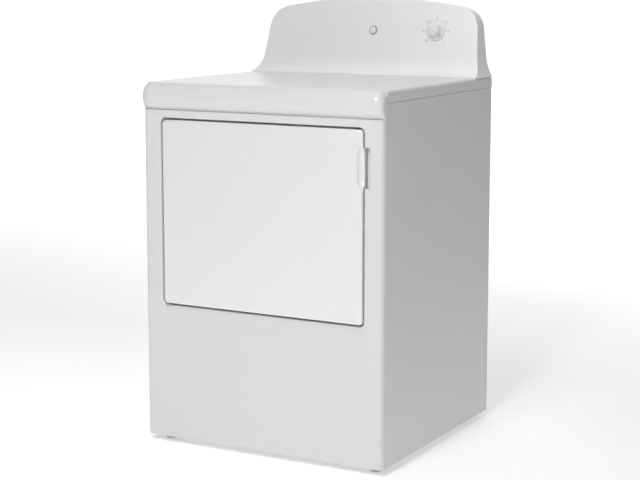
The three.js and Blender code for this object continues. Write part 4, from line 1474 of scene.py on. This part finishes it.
    def number(self, words: str, angle: float) -> Piece:
        """Sets one number outside the minute marks.

        Args:
            words: the number as text.
            angle: its direction from the knob's centre, in radians.

        Returns:
            The flat text piece.
        """
        deselect()
        bpy.ops.object.text_add()
        text = bpy.context.active_object
        text.data.body = words
        text.data.size = 5.4 * MM
        text.data.extrude = 0.08 * MM
        text.data.align_x = "CENTER"
        text.data.align_y = "CENTER"
        bpy.ops.object.convert(target="MESH")
        reach = (self.knob_radius + 11.5) * MM
        text.data.transform(Matrix.Translation((reach * math.cos(angle), reach * math.sin(angle), 0.1 * MM)))
        return text

    def back_cover(self) -> None:
        """Finishes the sheet that closes the console's back."""
        low, _ = edges_of("console_back_cover")
        outline = [(x, max(z, low.z)) for x, z in self.elevation(self.wall + 0.3)]
        cover = prism("console_back_sheet", [at(x, low.y, z) for x, z in outline], Vector((0, WALL * MM, 0)))
        hand_over(polish(soften(cover, 0.3, 2, 50), 35), Body.CABINET, ZINC, "console_back_cover")


# ---- Filter, exhaust and the works ----------------------------------------------------------
@dataclass
class Works:
    """The lint filter, the exhaust pipe and the finishes of the hidden pieces."""

    pipe_radius: float = 51
    pipe_height: float = 88

    def build(self) -> None:
        """Builds these pieces and dresses the nodes that stay."""
        self.exhaust_pipe()
        self.dress_nodes()

    def exhaust_pipe(self) -> None:
        """Rolls the exhaust pipe with a bead and a swaged end."""
        low, high = edges_of("exhaust_pipe")
        r, end = self.pipe_radius, high.y
        line = [(low.y, r), (end - 44, r), (end - 40, r - 1.6), (end - 36, r - 1.6), (end - 32, r)]
        line += [(end - 24, r), (end - 21, r - 0.8), (end, r - 1.4)]
        inner = [(y, rad - 0.9) for y, rad in reversed(line)]
        points = [at(0, y, self.pipe_height + rad) for y, rad in line + inner + [line[0]]]
        pipe = lathe("exhaust_duct_pipe", points, at(0, 0, self.pipe_height), Vector((0, 1, 0)), 72)
        hand_over(polish(pipe, 35), Body.CABINET, ALUMINISED, "exhaust_pipe")

    def dress_nodes(self) -> None:
        """Gives every node that is still shown its finish from its material slot."""
        by_slot = {finish.slot: finish for finish in ALL_FINISHES}
        slots = {part["node"]: part["material_slot"] for part in frame["record"]["subparts"]}
        for name, node in frame["nodes"].items():
            by_slot[slots[name]].dress(node)


# ---- Studio ---------------------------------------------------------------------------------
@dataclass
class Studio:
    """A pale studio with soft light, and the camera."""

    camera_place: Vector = field(default_factory=lambda: Vector((2.020, -3.322 - 0.344, 1.201)))
    yaw: float = 29.0
    pitch: float = 8.5
    lens: float = 90.0
    shift: float = -0.039
    paper_glow: float = 0.34
    far_glow: float = 0.85
    side_share: float = 0.32

    def build(self) -> None:
        """Sets up the floor, the lights, the world and the camera."""
        self.floor()
        self.area_light("key", (0.4, -3.2, 3.0), (0, -0.2, 0.8), (1.2, 1.2), 74)
        self.area_light("kicker", (2.0, -2.2, 1.4), (0.3, -0.3, 0.6), (0.6, 0.9), 10)
        self.area_light("ceiling", (-0.2, 0.0, 4.6), (-0.2, 0.2, 0), (2.6, 4.4), 60)
        self.world()
        self.camera()

    def floor(self) -> None:
        """Sweeps a pale floor up into a backdrop."""
        line = [Vector((-14, -9, 0)), Vector((-14, 6, 0))]
        line += [Vector((-14, 6 + u, 3 + v)) for u, v in arc(0, 0, 3, -90, 0, 12)]
        line.append(Vector((-14, 9, 12)))
        floor = trace("studio_floor", line)
        edit(floor)
        bpy.ops.mesh.extrude_edges_move(TRANSFORM_OT_translate={"value": (28, 0, 0)})
        settle(floor)
        if sum(face.normal.z for face in floor.data.polygons) < 0:
            floor.data.flip_normals()
        polish(floor, 60, weighted=False)
        paper = Finish(
            "studio_paper", (0.92, 0.92, 0.92), 0.9, grain_scale=40, relief=0.02, cloud_scale=0.5, cloud=0.004
        )
        paper.dress(floor)
        shader = paper.material().node_tree.nodes["Principled BSDF"]
        shader.inputs["Emission Color"].default_value = (1, 1, 1, 1)
        self.glow(paper.material().node_tree, shader)

    def glow(self, tree: bpy.types.NodeTree, shader: bpy.types.Node) -> None:
        """Makes the paper glow, more towards the far end and less on the right.

        Args:
            tree: The paper's node tree.
            shader: The node whose emission strength is set.
        """
        place, parts = tree.nodes.new("ShaderNodeTexCoord"), tree.nodes.new("ShaderNodeSeparateXYZ")
        both = tree.nodes.new("ShaderNodeMath")
        both.operation = "MULTIPLY"
        tree.links.new(place.outputs["Object"], parts.inputs["Vector"])
        spans = (("Y", 0.8, 4.0, self.paper_glow, self.far_glow), ("X", 0.3, 1.4, 1.0, self.side_share))
        for slot, (axis, start, end, near, far) in enumerate(spans):
            rise = tree.nodes.new("ShaderNodeMapRange")
            rise.inputs["From Min"].default_value, rise.inputs["From Max"].default_value = start, end
            rise.inputs["To Min"].default_value, rise.inputs["To Max"].default_value = near, far
            tree.links.new(parts.outputs[axis], rise.inputs["Value"])
            tree.links.new(rise.outputs["Result"], both.inputs[slot])
        tree.links.new(both.outputs["Value"], shader.inputs["Emission Strength"])

    def area_light(
        self,
        name: str,
        place: Spot,
        target: Spot,
        size: tuple[float, float],
        power: float,
    ) -> None:
        """Adds a soft rectangular light aimed at a point.

        Args:
            name: the light's name.
            place: where it stands, in metres.
            target: the point it faces.
            size: its width and height.
            power: its power in watts.
        """
        lamp = bpy.data.lights.new(name, "AREA")
        lamp.shape = "RECTANGLE"
        lamp.size, lamp.size_y = size
        lamp.energy = power
        holder = bpy.data.objects.new(name, lamp)
        holder.location = place
        holder.visible_camera = False
        holder.rotation_euler = (Vector(target) - Vector(place)).to_track_quat("-Z", "Y").to_euler()
        bpy.context.scene.collection.objects.link(holder)

    def world(self) -> None:
        """Fills the room with even pale light."""
        world = bpy.data.worlds.new("studio_air")
        world.use_nodes = True
        air = world.node_tree.nodes["Background"]
        air.inputs["Color"].default_value = (1, 1, 1, 1)
        air.inputs["Strength"].default_value = 0.06
        bpy.context.scene.world = world
        bpy.context.scene.view_settings.view_transform = "Standard"

    def camera(self) -> None:
        """Places the camera at its height, turn and focal length."""
        lens = bpy.data.cameras.new("camera")
        lens.lens = self.lens
        lens.sensor_width = 36.0
        lens.shift_y = self.shift
        holder = bpy.data.objects.new("camera", lens)
        yaw, pitch = math.radians(self.yaw), math.radians(self.pitch)
        aim = Vector((-math.sin(yaw) * math.cos(pitch), math.cos(yaw) * math.cos(pitch), -math.sin(pitch)))
        holder.location = self.camera_place
        holder.rotation_euler = aim.to_track_quat("-Z", "Y").to_euler()
        bpy.context.scene.collection.objects.link(holder)
        bpy.context.scene.camera = holder


def main() -> None:
    """Builds the dryer's looks in order."""
    logging.basicConfig(level=logging.INFO, format="%(name)s %(message)s", stream=sys.stdout)
    for assembly in (Cabinet(), Door(), Drum(), Console(), Works(), Studio()):
        LOG.info("building %s", type(assembly).__name__)
        assembly.build()
    deselect()


if __name__ == "__main__":
    main()
